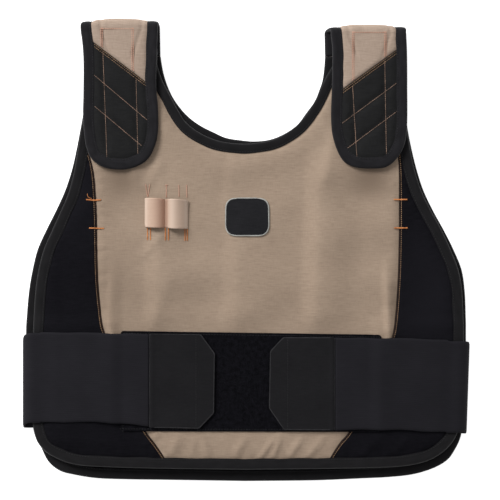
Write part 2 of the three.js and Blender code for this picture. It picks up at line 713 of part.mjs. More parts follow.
// Belts: elastic from under the back panel, round the side and over the front to a hook tab on the loop field.
const fieldEnd = fieldLength / 2 + Math.abs(fieldPlace.out * waistHalf);
function beltSeat(x, y) {
  const offField = smooth((Math.abs(x) - fieldEnd) / (2 * bandRamp));
  return frontHeight(x, y) + seamGap + between(loopFieldThick + seamGap, 0, offField);
}
for (const { name, side, tabSeam, up, sag } of beltRows) {
  const middleY = upFromHem(up);
  const outerX = waistHalf + beltThick;
  const seamX = tabSeam * waistHalf;
  const topEdge = (x) => beltSeat(side * x, middleY) + beltThick / 2;
  const turnX = outerX - beltBend;
  const turnTop = topEdge(turnX);
  const corner = (middleZ, from, to) =>
    evenly(from, to, 4).map((angle) => [turnX + beltBend * Math.cos(angle), middleZ + beltBend * Math.sin(angle)]);
  const low = beltThick / 2;
  const route = [
    [tailStart, low],
    ...corner(low + beltBend, -Math.PI / 2, 0),
    ...corner(turnTop - beltBend, 0, Math.PI / 2),
    ...evenly(turnX - 2 * beltBend, seamX + seamGap / 2, 11).map((x) => [x, topEdge(x)]),
  ];
  const beltProfile = [
    [-beltWidth / 2, -beltThick / 2],
    [beltWidth / 2, -beltThick / 2],
    [beltWidth / 2, beltThick / 2],
    [-beltWidth / 2, beltThick / 2],
  ].map(([across, high]) => new THREE.Vector2(across, high));
  const flat = route.map(([x, z]) => new THREE.Vector2(x, z));
  const outward = leftOf(flat).map((v) => v.negate());
  const beltRings = flat.map((p, i) => {
    const sagging = THREE.MathUtils.clamp((p.x - seamX) / (outerX - seamX), 0, 1) * sag * vestLength;
    return beltProfile.map(
      (at) =>
        new THREE.Vector3(
          side * (p.x + outward[i].x * at.y),
          middleY - sagging + at.x,
          p.y + outward[i].y * at.y,
        ),
    );
  });
  addPiece("belt_" + name, sweep(beltRings, beltProfile), "elastic");

  const tabTip = seamX - tabLength;
  const tabHalf = beltWidth / 2 + tabOverhang;
  const tabOutline = [
    [seamX - seamGap / 2, -tabHalf],
    [seamX - seamGap / 2, tabHalf],
    [tabTip + tabClipShort, tabHalf],
    [tabTip, tabHalf - tabClipLong],
    [tabTip, -tabHalf + tabClipLong],
    [tabTip + tabClipShort, -tabHalf],
  ].map(([x, y]) => new THREE.Vector2(side * x, middleY + y));
  const tabLowest = seamGap + loopFieldThick + seamGap;
  addPiece("belt_tab_" + name, geometryOf(laidOnFront(tabOutline, tabLowest, tabThick)), "elastic");
}

export default vest;
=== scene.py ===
"""A padded cooling vest laid flat with its front up, dressed in cloth, tape, elastic and thread.

Metres. +X is to the right seen from above, +Y runs from the hem to the shoulders, +Z is up from the table.
Left and right are those of the picture, seen from above.
"""

import math

import bpy
import numpy as np
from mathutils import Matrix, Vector, kdtree
from mathutils.geometry import delaunay_2d_cdt


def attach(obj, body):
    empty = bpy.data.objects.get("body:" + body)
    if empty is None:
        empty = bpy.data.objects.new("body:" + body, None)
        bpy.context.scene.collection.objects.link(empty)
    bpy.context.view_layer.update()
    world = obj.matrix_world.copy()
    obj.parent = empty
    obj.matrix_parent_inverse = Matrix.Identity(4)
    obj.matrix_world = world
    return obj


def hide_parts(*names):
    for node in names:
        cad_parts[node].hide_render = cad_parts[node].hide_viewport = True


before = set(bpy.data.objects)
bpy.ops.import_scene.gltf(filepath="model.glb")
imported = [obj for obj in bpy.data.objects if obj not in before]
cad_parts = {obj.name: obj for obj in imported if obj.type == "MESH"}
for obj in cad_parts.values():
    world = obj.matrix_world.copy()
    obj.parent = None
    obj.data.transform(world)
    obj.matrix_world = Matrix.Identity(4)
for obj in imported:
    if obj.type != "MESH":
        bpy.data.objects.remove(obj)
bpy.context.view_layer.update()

# Cloth, padding and tape
SEAM_GAP = 0.0003
BINDING_WIDTH = 0.012
BINDING_CLOTH = 0.0009
BINDING_HALF = 0.0025
BINDING_NOSE = 0.0026
NECK_TAPE_WIDTH = 0.0108
RIM_HALF = 0.001
RIM_INSET = BINDING_CLOTH + SEAM_GAP
TAPE_CLEAR = 0.0002
TAPE_GROOVE = 0.0016
BINDING_ROW_HIGH = 0.0016
TAPE_SQUEEZE, TAPE_SQUEEZE_WAVE = 0.05, 0.012
TAPE_WANDER, TAPE_WANDER_WAVE = 0.0003, 0.03
BACK_PAD = 0.006
FRONT_PAD = 0.0057
STRAP_PAD = 0.0055
PAD_SLOPE = 0.016
FLAP_SLOPE = 0.010
STRAP_SLOPE = 0.009

# Meshes: spacing of outlines, rings inside a bound edge, and how clear other points stay of edges and seams
OUTLINE_STEP = 0.003
EDGE_RINGS = (0.0108, 0.0118, 0.0132, 0.0156, 0.0192)
BACK_GRID, FRONT_GRID, FLAP_GRID = 0.006, 0.0032, 0.0022
FIELD_GRID, TAB_GRID, PATCH_GRID = 0.0030, 0.0026, 0.0016
EDGE_CLEAR = 0.0012
SEAM_CLEAR = 0.0008
ROW_SHARE = 0.866

# Levels over the table
BACK_MIDDLE = BACK_PAD / 2
FRONT_MIDDLE = BACK_PAD + SEAM_GAP + BINDING_HALF
FRONT_FLAT_TOP = FRONT_MIDDLE - BINDING_HALF + FRONT_PAD
STRAP_LOW = STRAP_PAD / 2
FLAP_MIDDLE = FRONT_FLAT_TOP + SEAM_GAP + STRAP_PAD / 2
FOLD_RADIUS = (FLAP_MIDDLE - STRAP_LOW) / 2
TORSO_GAP = 0.007
# Length over which the front rises from the flaps' tips to the torso space
ARCH_RUN = 0.13
BELT_THICK = 0.002
BELT_BEND = 0.0042
BELT_SOFT_BEND = 0.0135
BELT_LIFT = BELT_THICK + SEAM_GAP
FIELD_THICK = 0.0015

# Places. BAND: where the belts' sewn ends lift both panels. TAIL: where those ends stop under the back.
SHOULDER_SEAM_Y = 0.2152
FLAP_TIP_Y = 0.0893
TIP_RISE_Y = 0.125
BELT_MIDDLE_Y = -0.1448
BELT_WIDTH = 0.1016
BAND_HALF = 0.061
BAND_RAMP = 0.016
BAND_INWARD = 0.022
TAIL_START = 0.1545
FRONT_WAIST = 0.2375
BELT_TOP_Y = -0.085
HEM_SLACK_Y = -0.196
# y at which a leaning hem crease, or a leaning fold, stands at its x
HEM_CREASE_Y = -0.225
FOLD_LEAN_Y = -0.02

# Outlines: points (x, y), from the middle of the hem up to the shoulder
BACK_LEFT = [
    (0.0000, -0.2547), (-0.0946, -0.2533), (-0.1320, -0.2528), (-0.1661, -0.2514),
    (-0.1892, -0.2478), (-0.2057, -0.2434), (-0.2182, -0.2338), (-0.2266, -0.2178),
    (-0.2332, -0.1991), (-0.2387, -0.1694), (-0.2420, -0.1364), (-0.2431, -0.1034),
    (-0.2431, -0.0825), (-0.2417, -0.0583), (-0.2393, -0.0374), (-0.2354, -0.0165),
    (-0.2305, 0.0022), (-0.2211, 0.0231), (-0.2101, 0.0451), (-0.2002, 0.0671),
    (-0.1930, 0.0891), (-0.1879, 0.1111), (-0.1837, 0.1331), (-0.1804, 0.1518),
    (-0.1782, 0.1716), (-0.1782, 0.2101), (-0.1782, 0.2150),
]
BACK_RIGHT = [
    (0.0000, -0.2547), (0.0814, -0.2538), (0.1254, -0.2519), (0.1584, -0.2503),
    (0.1837, -0.2475), (0.2002, -0.2431), (0.2112, -0.2387), (0.2189, -0.2343),
    (0.2244, -0.2299), (0.2299, -0.2222), (0.2365, -0.2079), (0.2398, -0.1914),
    (0.2420, -0.1639), (0.2431, -0.1309), (0.2431, -0.0924), (0.2431, -0.0649),
    (0.2420, -0.0429), (0.2387, -0.0209), (0.2299, 0.0011), (0.2189, 0.0231),
    (0.2068, 0.0451), (0.1964, 0.0671), (0.1892, 0.0891), (0.1837, 0.1111),
    (0.1793, 0.1331), (0.1766, 0.1551), (0.1760, 0.1771), (0.1760, 0.2101), (0.1760, 0.2150),
]
FRONT_LEFT = [
    (0.0000, -0.2398), (-0.1056, -0.2384), (-0.1573, -0.2369), (-0.1826, -0.2354),
    (-0.1980, -0.2321), (-0.2090, -0.2277), (-0.2211, -0.2206), (-0.2288, -0.2112),
    (-0.2338, -0.1969), (-0.2349, -0.1694), (-0.2349, -0.1364), (-0.2343, -0.0880),
    (-0.2332, -0.0583), (-0.2310, -0.0352), (-0.2272, -0.0143), (-0.2217, 0.0044),
    (-0.2134, 0.0231), (-0.2046, 0.0429), (-0.1958, 0.0638), (-0.1898, 0.0869),
    (-0.1859, 0.1089), (-0.1826, 0.1309), (-0.1788, 0.1518), (-0.1752, 0.1716),
]
FRONT_RIGHT = [
    (0.0000, -0.2398), (0.1056, -0.2386), (0.1573, -0.2374), (0.1837, -0.2347),
    (0.2000, -0.2305), (0.2123, -0.2243), (0.2222, -0.2162), (0.2299, -0.2057),
    (0.2354, -0.1914), (0.2385, -0.1694), (0.2396, -0.1364), (0.2398, -0.0880),
    (0.2392, -0.0583), (0.2376, -0.0380), (0.2335, -0.0187), (0.2256, 0.0011),
    (0.2155, 0.0231), (0.2035, 0.0451), (0.1930, 0.0671), (0.1860, 0.0891),
    (0.1812, 0.1111), (0.1778, 0.1331), (0.1750, 0.1551), (0.1738, 0.1716),
]
# Necklines: points (x, y), from the left shoulder round to the right one
BACK_NECK = [
    (-0.0945, 0.2150), (-0.0931, 0.2058), (-0.0914, 0.1972), (-0.0890, 0.1886),
    (-0.0848, 0.1776), (-0.0788, 0.1664), (-0.0658, 0.1504), (-0.0515, 0.1394),
    (-0.0351, 0.1310), (-0.0225, 0.1254), (-0.0041, 0.1224), (0.0076, 0.1214),
    (0.0249, 0.1229), (0.0402, 0.1285), (0.0563, 0.1392), (0.0666, 0.1526),
    (0.0765, 0.1664), (0.0808, 0.1773), (0.0845, 0.1881), (0.0864, 0.2014),
    (0.0874, 0.2150),
]
FRONT_NECK = [
    (-0.0980, 0.2050), (-0.0930, 0.1900), (-0.0878, 0.1794), (-0.0825, 0.1694),
    (-0.0763, 0.1577), (-0.0662, 0.1420), (-0.0523, 0.1310), (-0.0353, 0.1231),
    (-0.0210, 0.1196), (-0.0043, 0.1183), (0.0076, 0.1187), (0.0249, 0.1215),
    (0.0400, 0.1273), (0.0556, 0.1382), (0.0670, 0.1515), (0.0760, 0.1657),
    (0.0815, 0.1779), (0.0875, 0.1904), (0.0960, 0.2050),
]
# The shoulder tongues of the front, under the flaps: their tops and how round their corners are
TONGUE_TOP_Y = 0.2361
TONGUE_CORNER = 0.016
TONGUE_OUTER = {"left": -0.1745, "right": 0.1735}
TONGUE_INNER = {"left": -0.0975, "right": 0.0975}

# Seams between the tan centre and the dark sides: points (x, y), from below the hem up to the armhole
SEAM_LEFT = [
    (-0.0800, -0.2550), (-0.0880, -0.2294), (-0.0990, -0.2120), (-0.1095, -0.1980),
    (-0.1240, -0.1700), (-0.1380, -0.1350), (-0.1500, -0.1080), (-0.1540, -0.0902),
    (-0.1566, -0.0831), (-0.1617, -0.0429), (-0.1634, 0.0011), (-0.1653, 0.0572),
    (-0.1688, 0.0924), (-0.1776, 0.1221), (-0.1850, 0.1450), (-0.1950, 0.1700),
]
SEAM_RIGHT = [
    (0.0800, -0.2550), (0.0907, -0.2299), (0.1020, -0.2120), (0.1128, -0.1991),
    (0.1300, -0.1680), (0.1430, -0.1350), (0.1540, -0.1080), (0.1603, -0.0924),
    (0.1639, -0.0715), (0.1661, -0.0429), (0.1680, 0.0011), (0.1688, 0.0572),
    (0.1683, 0.0924), (0.1672, 0.1078), (0.1720, 0.1300), (0.1850, 0.1600),
]
# Upright folds of the front's cloth, steep on their left and long on their right.
# Each: x of its crest, widths of its rise and its fall, height, lowest and highest y, and how it leans
FOLDS = [
    (-0.1460, 0.0070, 0.014, 0.0022, -0.100, 0.000, 0.05),
    (-0.0930, 0.0210, 0.058, 0.0054, -0.075, 0.100, 0.03),
    (-0.0060, 0.0240, 0.060, 0.0044, -0.075, 0.070, 0.03),
    (0.0800, 0.0210, 0.050, 0.0060, -0.075, 0.125, 0.03),
    (0.1530, 0.0045, 0.012, 0.0038, -0.100, 0.000, -0.03),
    (-0.0960, 0.0100, 0.016, 0.0018, 0.075, 0.170, -0.25),
    (-0.0250, 0.0140, 0.034, 0.0014, 0.040, 0.130, 0.10),
    (0.0700, 0.0120, 0.024, 0.0018, 0.080, 0.160, 0.20),
]
FOLD_START, FOLD_FADE_LOW, FOLD_FADE_TOP = 0.02, 0.03, 0.05
# Small slack creases of the tan hem, above its binding. Each: x, width, height and lean
HEM_CREASES = [
    (-0.130, 0.005, 0.0016, -0.4), (-0.083, 0.006, 0.0021, 0.4), (-0.060, 0.003, 0.0010, 0.2),
    (-0.041, 0.004, 0.0017, -0.3), (-0.012, 0.005, 0.0021, 0.5), (0.017, 0.003, 0.0025, 0.7),
    (0.031, 0.003, 0.0027, 0.3), (0.048, 0.004, 0.0024, 0.6), (0.068, 0.005, 0.0020, 0.8),
    (0.125, 0.006, 0.0018, 0.9), (0.158, 0.007, 0.0016, 0.9),
]
# Slanting creases beside the pen holder and over the belt. Each: the line it follows, width and height
CREASES = [
    (((-0.0950, 0.0940), (-0.1078, 0.0726)), 0.0055, 0.0015),
    (((-0.1120, -0.0050), (-0.0946, 0.0143)), 0.0050, 0.0012),
    (((-0.1560, -0.0720), (-0.1460, -0.0900)), 0.0040, 0.0010),
    (((-0.1000, -0.0750), (-0.0850, -0.0350)), 0.0080, 0.0008),
    (((0.0950, 0.1250), (0.0850, 0.0800)), 0.0070, 0.0012),
]
# Small forms of the front's cloth: puckers inside its tape, gathers and a groove at the side seams, waves
PUCKER = {"inset": 0.003, "wide": 0.006, "wave": 0.011, "high": 0.00035}
GATHER = {"inset": 0.006, "wide": 0.006, "wave": 0.013, "high": 0.0004}
GROOVE = {"wide": 0.0026, "deep": 0.0011}
SOFT_WAVE = {"wave": 0.07, "pressed": 0.0006, "high": 0.0010}
SEAM_PUFF_WIDE = 0.006
CENTRE_PUFF, SIDE_PUFF = -0.0006, 0.0004

# Shoulder straps. shift: how far the strap's lower run lies inwards of the flap, at its inner edge.
STRAP_WIDTH = 0.083
TIP_RISE = 0.0009
STRAP_STEP = 0.0025
STRAP_COLUMNS, STRAP_ROWS = 61, 71
FLAP_STEP = 0.002
FLAP_RUN_ON = (0, 0.02)
FOLD_DOME, FOLD_SINK = 0.0035, 0.003
STRAP_CREASE = {"aside": 0.0225, "bow": 0.35, "wide": 0.0022, "deep": 0.0010, "low_y": 0.206}
STRAPS = [
    {"name": "left", "side": -1, "middle": -0.1368, "fold_y": 0.2557, "seam_out_y": 0.2374,
     "seam_in_y": 0.1740, "shift": 0.0006},
    {"name": "right", "side": 1, "middle": 0.1357, "fold_y": 0.2492, "seam_out_y": 0.2296,
     "seam_in_y": 0.1685, "shift": 0.0068},
]
# The flaps' bound edges: points (x, y), from the fold's right end down round the tip and up to its left end
FLAP_EDGES = {
    "left": [
        (-0.0966, 0.2461), (-0.0978, 0.2140), (-0.0985, 0.1815), (-0.0966, 0.1577), (-0.0966, 0.1302),
        (-0.0996, 0.1159), (-0.1079, 0.1004), (-0.1211, 0.0921), (-0.1378, 0.0891), (-0.1569, 0.0921),
        (-0.1689, 0.1004), (-0.1748, 0.1124), (-0.1778, 0.1302), (-0.1790, 0.1518), (-0.1786, 0.1696),
        (-0.1785, 0.2114), (-0.1798, 0.2294), (-0.1818, 0.2461),
    ],
    "right": [
        (0.1760, 0.2386), (0.1768, 0.2200), (0.1771, 0.1816), (0.1766, 0.1340), (0.1736, 0.1161),
        (0.1658, 0.1018), (0.1539, 0.0922), (0.1372, 0.0904), (0.1181, 0.0922), (0.1074, 0.0981),
        (0.1002, 0.1101), (0.0948, 0.1279), (0.0933, 0.1459), (0.0943, 0.1816), (0.0946, 0.2233),
        (0.0930, 0.2386),
    ],
}

# The channels quilted into the flaps: (x, y) to (x, y) seen from above
QUILTING = {
    "left": [((-0.1569, 0.2180), (-0.1524, 0.1010)), ((-0.1205, 0.1870), (-0.1184, 0.1005)),
             ((-0.1678, 0.1940), (-0.1074, 0.1428)), ((-0.1684, 0.1607), (-0.1117, 0.1130))],
    "right": [((0.1170, 0.1800), (0.1216, 0.1012)), ((0.1522, 0.2080), (0.1540, 0.1023)),
              ((0.1044, 0.1393), (0.1678, 0.1860)), ((0.1084, 0.1105), (0.1668, 0.1542))],
}
CHANNEL = {"wide": 0.0040, "deep": 0.0018}

# Belts: where the elastic starts down off the loop field, where its height stops following the front's,
# and its soft bulge beside the field
FIELD_END_X = 0.148
BELT_LEVEL_X = 0.226
BELT_BULGE = {"x": 0.173, "wide": 0.016, "high": 0.0011}
# edges: (x outwards, top y, bottom y) of the elastic on the front. under_y: how much lower its end lies
# under the vest. slant: how far its outer fold is drawn in at the bottom.
BELTS = [
    {"name": "left", "side": -1, "outer": 0.2464, "seam": 0.1056, "under_y": -0.0080, "slant": 0.0,
     "edges": [(0.1056, -0.0908, -0.1916), (0.1386, -0.0900, -0.1880), (0.1660, -0.0893, -0.1867),
               (0.2050, -0.0890, -0.1874), (0.2464, -0.0892, -0.1877)]},
    {"name": "right", "side": 1, "outer": 0.2470, "seam": 0.0974, "under_y": -0.0030, "slant": 0.0034,
     "edges": [(0.0974, -0.0946, -0.1961), (0.1166, -0.0948, -0.1951), (0.1474, -0.0950, -0.1950),
               (0.1694, -0.0952, -0.1953), (0.1914, -0.0960, -0.1971), (0.2470, -0.0987, -0.1990)]},
]
TAB_THICK = 0.0024
TAB_BEVEL = 0.0007
TABS = {
    "left": [(-0.1056, -0.0900), (-0.0492, -0.0906), (-0.0337, -0.1117), (-0.0347, -0.1771),
             (-0.0510, -0.1940), (-0.1056, -0.1930)],
    "right": [(0.0974, -0.0940), (0.0405, -0.0940), (0.0262, -0.1094), (0.0250, -0.1717),
              (0.0413, -0.1955), (0.0974, -0.1959)],
}
# The row of stitches across each tab, where its hook pad ends
TAB_ROWS = {"left": (-0.0545, -0.094, -0.193), "right": (0.0456, -0.0975, -0.194)}
FIELD = [(-0.1370, -0.1969), (0.1478, -0.1980), (0.1478, -0.0916), (-0.1370, -0.0874)]

# Pen holder and patch. loops: where each loop starts and ends along the band.
PEN = {
    "left": -0.1110, "length": 0.0476, "middle_y": 0.0415, "sink": 0.0022, "width": 0.0312,
    "thick": 0.0012, "high": 0.0068, "loops": [(0.0009, 0.0219), (0.0255, 0.0467)],
}
PATCH = {"x": 0.0014, "y": 0.0374, "width": 0.047, "height": 0.041, "corner": 0.0085}
PATCH_THICK = 0.0012
PATCH_BEVEL = 0.0004

# The boxes of stitches on the straps' tan tops: x of each upright, and y of the top
BOX_STITCH = {"left": (-0.1581, -0.1241), "right": (0.1175, 0.1527)}
BOX_TOP_Y = {"left": 0.2435, "right": 0.2395}
# The bartacks across the side seams: points (x, y)
BARTACKS = [
    [(-0.1752, 0.0565), (-0.1675, 0.0557), (-0.1597, 0.0562)],
    [(-0.1719, 0.0252), (-0.1562, 0.0248)],
    [(0.1628, 0.0566), (0.1771, 0.0566)],
    [(0.1628, 0.0253), (0.1771, 0.0253)],
]
# The end of thread that curls loose over the left upper tack, and the short tacks that hold the pen band
LOOSE_END = [(-0.1744, 0.0627), (-0.1738, 0.0600), (-0.1720, 0.0585), (-0.1700, 0.0578)]
PEN_TACKS = [
    [(-0.1100, 0.0726), (-0.1082, 0.0600)], [(-0.1056, 0.0726), (-0.1076, 0.0600)],
    [(-0.0872, 0.0720), (-0.0872, 0.0590)], [(-0.0882, 0.0722), (-0.0860, 0.0722)],
    [(-0.0737, 0.0720), (-0.0732, 0.0600)], [(-0.0650, 0.0720), (-0.0648, 0.0590)],
    [(-0.1078, 0.0250), (-0.1078, 0.0125)], [(-0.1045, 0.0250), (-0.1045, 0.0125)],
    [(-0.0880, 0.0248), (-0.0880, 0.0122)], [(-0.0847, 0.0248), (-0.0847, 0.0122)],
    [(-0.0668, 0.0240), (-0.0668, 0.0118)], [(-0.0643, 0.0240), (-0.0643, 0.0118)],
]


def smooth(t):
    t = np.clip(t, 0.0, 1.0)
    return t * t * (3 - 2 * t)


def mixed(a, b, share):
    return a + (b - a) * share


def ridge(t):
    """1 at 0, falling away softly on both sides."""
    return np.exp(-(t ** 2))


def swell(t):
    """Rises steeply from 0 and levels off at 1, like a stuffed edge."""
    t = np.clip(t, 0.0, 1.0)
    return np.sqrt(1 - (1 - t) ** 2)


def ripple(along, wave, seed):
    """Uneven soft waves along a line, about -1 to 1."""
    draw = np.random.default_rng(seed)
    total = np.zeros_like(np.asarray(along, float))
    for _ in range(5):
        length = wave * draw.uniform(0.6, 1.7)
        total = total + np.sin(along * 2 * math.pi / length + draw.uniform(0, 6.28))
    return total / 2.6


def crumple(x, y, wave, seed):
    """Uneven soft hills over a surface, about -1 to 1."""
    draw = np.random.default_rng(seed)
    total = np.zeros_like(np.asarray(x, float))
    for _ in range(7):
        turn = draw.uniform(0, math.pi)
        length = wave * draw.uniform(0.7, 1.6)
        run = x * math.cos(turn) + y * math.sin(turn)
        total = total + np.sin(run * 2 * math.pi / length + draw.uniform(0, 6.28))
    return total / 3.2


def through(points, spacing=OUTLINE_STEP):
    """A smooth line through the points, sampled about every `spacing`."""
    p = np.array(points, float)
    p = np.vstack([2 * p[0] - p[1], p, 2 * p[-1] - p[-2]])
    t = np.concatenate([[0.0], np.cumsum(np.sqrt(np.linalg.norm(np.diff(p, axis=0), axis=1)))])
    spans = []
    for i in range(1, len(p) - 2):
        count = max(int(round(np.linalg.norm(p[i + 1] - p[i]) / spacing)), 1)
        s = np.linspace(t[i], t[i + 1], count, endpoint=False)[:, None]
        a = ((t[i] - s) * p[i - 1] + (s - t[i - 1]) * p[i]) / (t[i] - t[i - 1])
        b = ((t[i + 1] - s) * p[i] + (s - t[i]) * p[i + 1]) / (t[i + 1] - t[i])
        c = ((t[i + 2] - s) * p[i + 1] + (s - t[i + 1]) * p[i + 2]) / (t[i + 2] - t[i + 1])
        ab = ((t[i + 1] - s) * a + (s - t[i - 1]) * b) / (t[i + 1] - t[i - 1])
        bc = ((t[i + 2] - s) * b + (s - t[i]) * c) / (t[i + 2] - t[i])
        spans.append(((t[i + 1] - s) * ab + (s - t[i]) * bc) / (t[i + 1] - t[i]))
    return np.vstack([*spans, p[-2:-1]])


def run_of(chain):
    """Distance along a line at each of its points."""
    return np.concatenate([[0.0], np.cumsum(np.linalg.norm(np.diff(chain, axis=0), axis=1))])


def respaced(chain, spacing):
    """The same line with its points evenly spaced."""
    run = run_of(chain)
    count = max(int(round(run[-1] / spacing)), 1)
    stops = np.linspace(0, run[-1], count + 1)
    return np.stack([np.interp(stops, run, chain[:, k]) for k in range(chain.shape[1])], axis=1)


def left_of(chain):
    """The direction to the left of travel at each point of a flat line."""
    ahead = np.gradient(chain, axis=0)
    ahead /= np.linalg.norm(ahead, axis=1)[:, None]
    return np.stack([-ahead[:, 1], ahead[:, 0]], axis=1)


def moved(chain, distance):
    """A flat line shifted to the left of its travel, which is inwards for an outline."""
    return chain + left_of(chain) * distance


def closed(outline):
    """An outline with its first point once more at its end."""
    return np.vstack([outline, outline[:1]])


def tree_of(points):
    tree = kdtree.KDTree(len(points))
    for i, (x, y) in enumerate(points):
        tree.insert((x, y, 0), i)
    tree.balance()
    return tree


class Nearest:
    """Distance to a flat line, and how far along the line its nearest point is."""

    STEP = 0.0008

    def __init__(self, chain):
        chain = respaced(chain, self.STEP)
        self.run = run_of(chain)
        self.tree = tree_of(chain)

    def __call__(self, x, y):
        found = [self.tree.find((a, b, 0)) for a, b in zip(np.ravel(x), np.ravel(y))]
        distance = np.array([f[2] for f in found]).reshape(np.shape(x))
        run = self.run[[f[1] for f in found]].reshape(np.shape(x))
        return distance, run


def inside(outline, points):
    """Which of the points lie inside an outline."""
    x, y = points[:, 0], points[:, 1]
    within = np.zeros(len(points), bool)
    for (x0, y0), (x1, y1) in zip(outline, np.roll(outline, -1, axis=0)):
        if y0 != y1:
            crosses = (y0 > y) != (y1 > y)
            within ^= crosses & (x < (x1 - x0) * (y - y0) / (y1 - y0) + x0)
    return within


def to_line(x, y, line):
    """Distance to a straight line between two points."""
    (x0, y0), (x1, y1) = line
    dx, dy = x1 - x0, y1 - y0
    share = np.clip(((x - x0) * dx + (y - y0) * dy) / (dx * dx + dy * dy), 0, 1)
    return np.hypot(x - x0 - share * dx, y - y0 - share * dy)


def anticlockwise(outline):
    """The outline, turned round if it runs clockwise."""
    turned = np.roll(outline[:, 0], -1) * outline[:, 1] - outline[:, 0] * np.roll(outline[:, 1], -1)
    return outline[::-1] if turned.sum() > 0 else outline


# The front's shoulder tongues
def corner(middle_x, middle_y, start, end):
    turns = np.radians(np.linspace(start, end, 9))
    return [(middle_x + TONGUE_CORNER * math.cos(a), middle_y + TONGUE_CORNER * math.sin(a)) for a in turns]


def tongue(name):
    """The right and the left corner of a shoulder tongue's top, each from right to left."""
    level = TONGUE_TOP_Y - TONGUE_CORNER
    low_x, high_x = sorted([TONGUE_OUTER[name], TONGUE_INNER[name]])
    right = corner(high_x - TONGUE_CORNER, level, 0, 90)
    left = corner(low_x + TONGUE_CORNER, level, 90, 180)
    return right, left


def joined(*chains):
    return respaced(np.vstack(chains), OUTLINE_STEP)


# The two panels' outlines, anticlockwise seen from above, and the side seams
tongue_right = tongue("right")
tongue_left = tongue("left")
back_side = joined(through(BACK_LEFT)[::-1], through(BACK_RIGHT)[1:])
back_neck = joined(through(BACK_NECK)[::-1])
front_side = joined(tongue_left[1], through(FRONT_LEFT)[::-1], through(FRONT_RIGHT)[1:], tongue_right[0])
front_neck = joined(tongue_right[1], through(FRONT_NECK)[::-1], tongue_left[0])
seam_left = joined(through(SEAM_LEFT))
seam_right = joined(through(SEAM_RIGHT))

to_front_edge = Nearest(np.vstack([front_side, front_neck]))
to_back_edge = Nearest(np.vstack([back_side, back_neck]))
to_seam_left = Nearest(seam_left)
to_seam_right = Nearest(seam_right)


def lift(x, y):
    """How much higher both panels lie where a belt's end is sewn under them."""
    in_band = smooth((BAND_HALF + BAND_RAMP - np.abs(y - BELT_MIDDLE_Y)) / BAND_RAMP)
    at_side = smooth((np.abs(x) - TAIL_START + BAND_INWARD) / BAND_RAMP)
    return BELT_LIFT * in_band * at_side


def arch(x, y):
    """How far the front stands up over the torso space."""
    across = np.clip(1 - np.abs(x / FRONT_WAIST) ** 5, 0, 1)
    return TORSO_GAP * across * smooth((FLAP_TIP_Y - y) / ARCH_RUN)


def back_middle(x, y):
    return BACK_MIDDLE + lift(x, y)


def front_middle(x, y):
    return FRONT_MIDDLE + arch(x, y) + lift(x, y)


def folds(x, y):
    """The height of the front's upright folds."""
    total = np.zeros_like(x)
    for crest, rise_wide, fall_wide, high, low_y, top_y, lean in FOLDS:
        at = x - crest - lean * (y - FOLD_LEAN_Y)
        rise = smooth((at + rise_wide) / rise_wide)
        fall = 1 - smooth(at / fall_wide)
        fade = smooth((y - low_y + FOLD_START) / FOLD_FADE_LOW) * smooth((top_y - y) / FOLD_FADE_TOP)
        total = total + high * rise * fall * fade
    return total


def waves(x, y):
    """The front's soft waves, flatter under the belts."""
    free = smooth((y - BELT_TOP_Y) / 0.03)
    return crumple(x, y, SOFT_WAVE["wave"], 3) * mixed(SOFT_WAVE["pressed"], SOFT_WAVE["high"], free)


def pad_share(near, x, y):
    """How far a place is past its panel's tape, as a share of the padding's slope, and how far along."""
    distance, run = near(x, y)
    return (distance - BINDING_WIDTH - TAPE_CLEAR) / PAD_SLOPE, run


def front_top(x, y, puff=0.0):
    """The upper face of the front's cloth. puff: how far it stands up beside the side seams."""
    pad, run = pad_share(to_front_edge, x, y)
    high = mixed(RIM_HALF, FRONT_PAD - BINDING_HALF, swell(pad))
    pucker = ripple(run, PUCKER["wave"], 5) * PUCKER["high"]
    pucker = pucker * ridge((pad * PAD_SLOPE - PUCKER["inset"]) / PUCKER["wide"])
    high = high + np.where(pad > 0, pucker, 0)
    risen = smooth(pad)
    high = high + (folds(x, y) + waves(x, y)) * risen
    for line, wide, crease in CREASES:
        high = high + crease * ridge(to_line(x, y, line) / wide) * risen
    low_hem = smooth((HEM_SLACK_Y - y) / 0.02) * swell(pad)
    for crease_x, wide, crease, lean in HEM_CREASES:
        across = x - crease_x - lean * (y - HEM_CREASE_Y)
        high = high + crease * ridge(across / wide) * low_hem
    for near, seed in ((to_seam_left, 8), (to_seam_right, 9)):
        away, along = near(x, y)
        high = high - GROOVE["deep"] * ridge(away / GROOVE["wide"]) * risen
        high = high + puff * np.exp(-((away / SEAM_PUFF_WIDE) ** 4)) * risen
        gather = ripple(along, GATHER["wave"], seed) * GATHER["high"]
        high = high + gather * ridge((away - GATHER["inset"]) / GATHER["wide"]) * risen
    return front_middle(x, y) + high


def centre_top(x, y):
    return front_top(x, y, CENTRE_PUFF)


def side_top(x, y):
    return front_top(x, y, SIDE_PUFF)


def front_level(x, y):
    """The front's upper face without the small puckers, for what lies on it."""
    pad, _ = pad_share(to_front_edge, x, y)
    high = mixed(BINDING_HALF, FRONT_PAD - BINDING_HALF, smooth(pad))
    return front_middle(x, y) + high + (folds(x, y) + waves(x, y)) * smooth(pad)


def front_under(x, y):
    pad, _ = pad_share(to_front_edge, x, y)
    return front_middle(x, y) - mixed(RIM_HALF, BINDING_HALF, swell(pad))


def back_half(x, y):
    pad, _ = pad_share(to_back_edge, x, y)
    return mixed(RIM_HALF, BACK_PAD / 2, swell(pad))


def back_top(x, y):
    return back_middle(x, y) + back_half(x, y)


def back_under(x, y):
    return back_middle(x, y) - back_half(x, y)


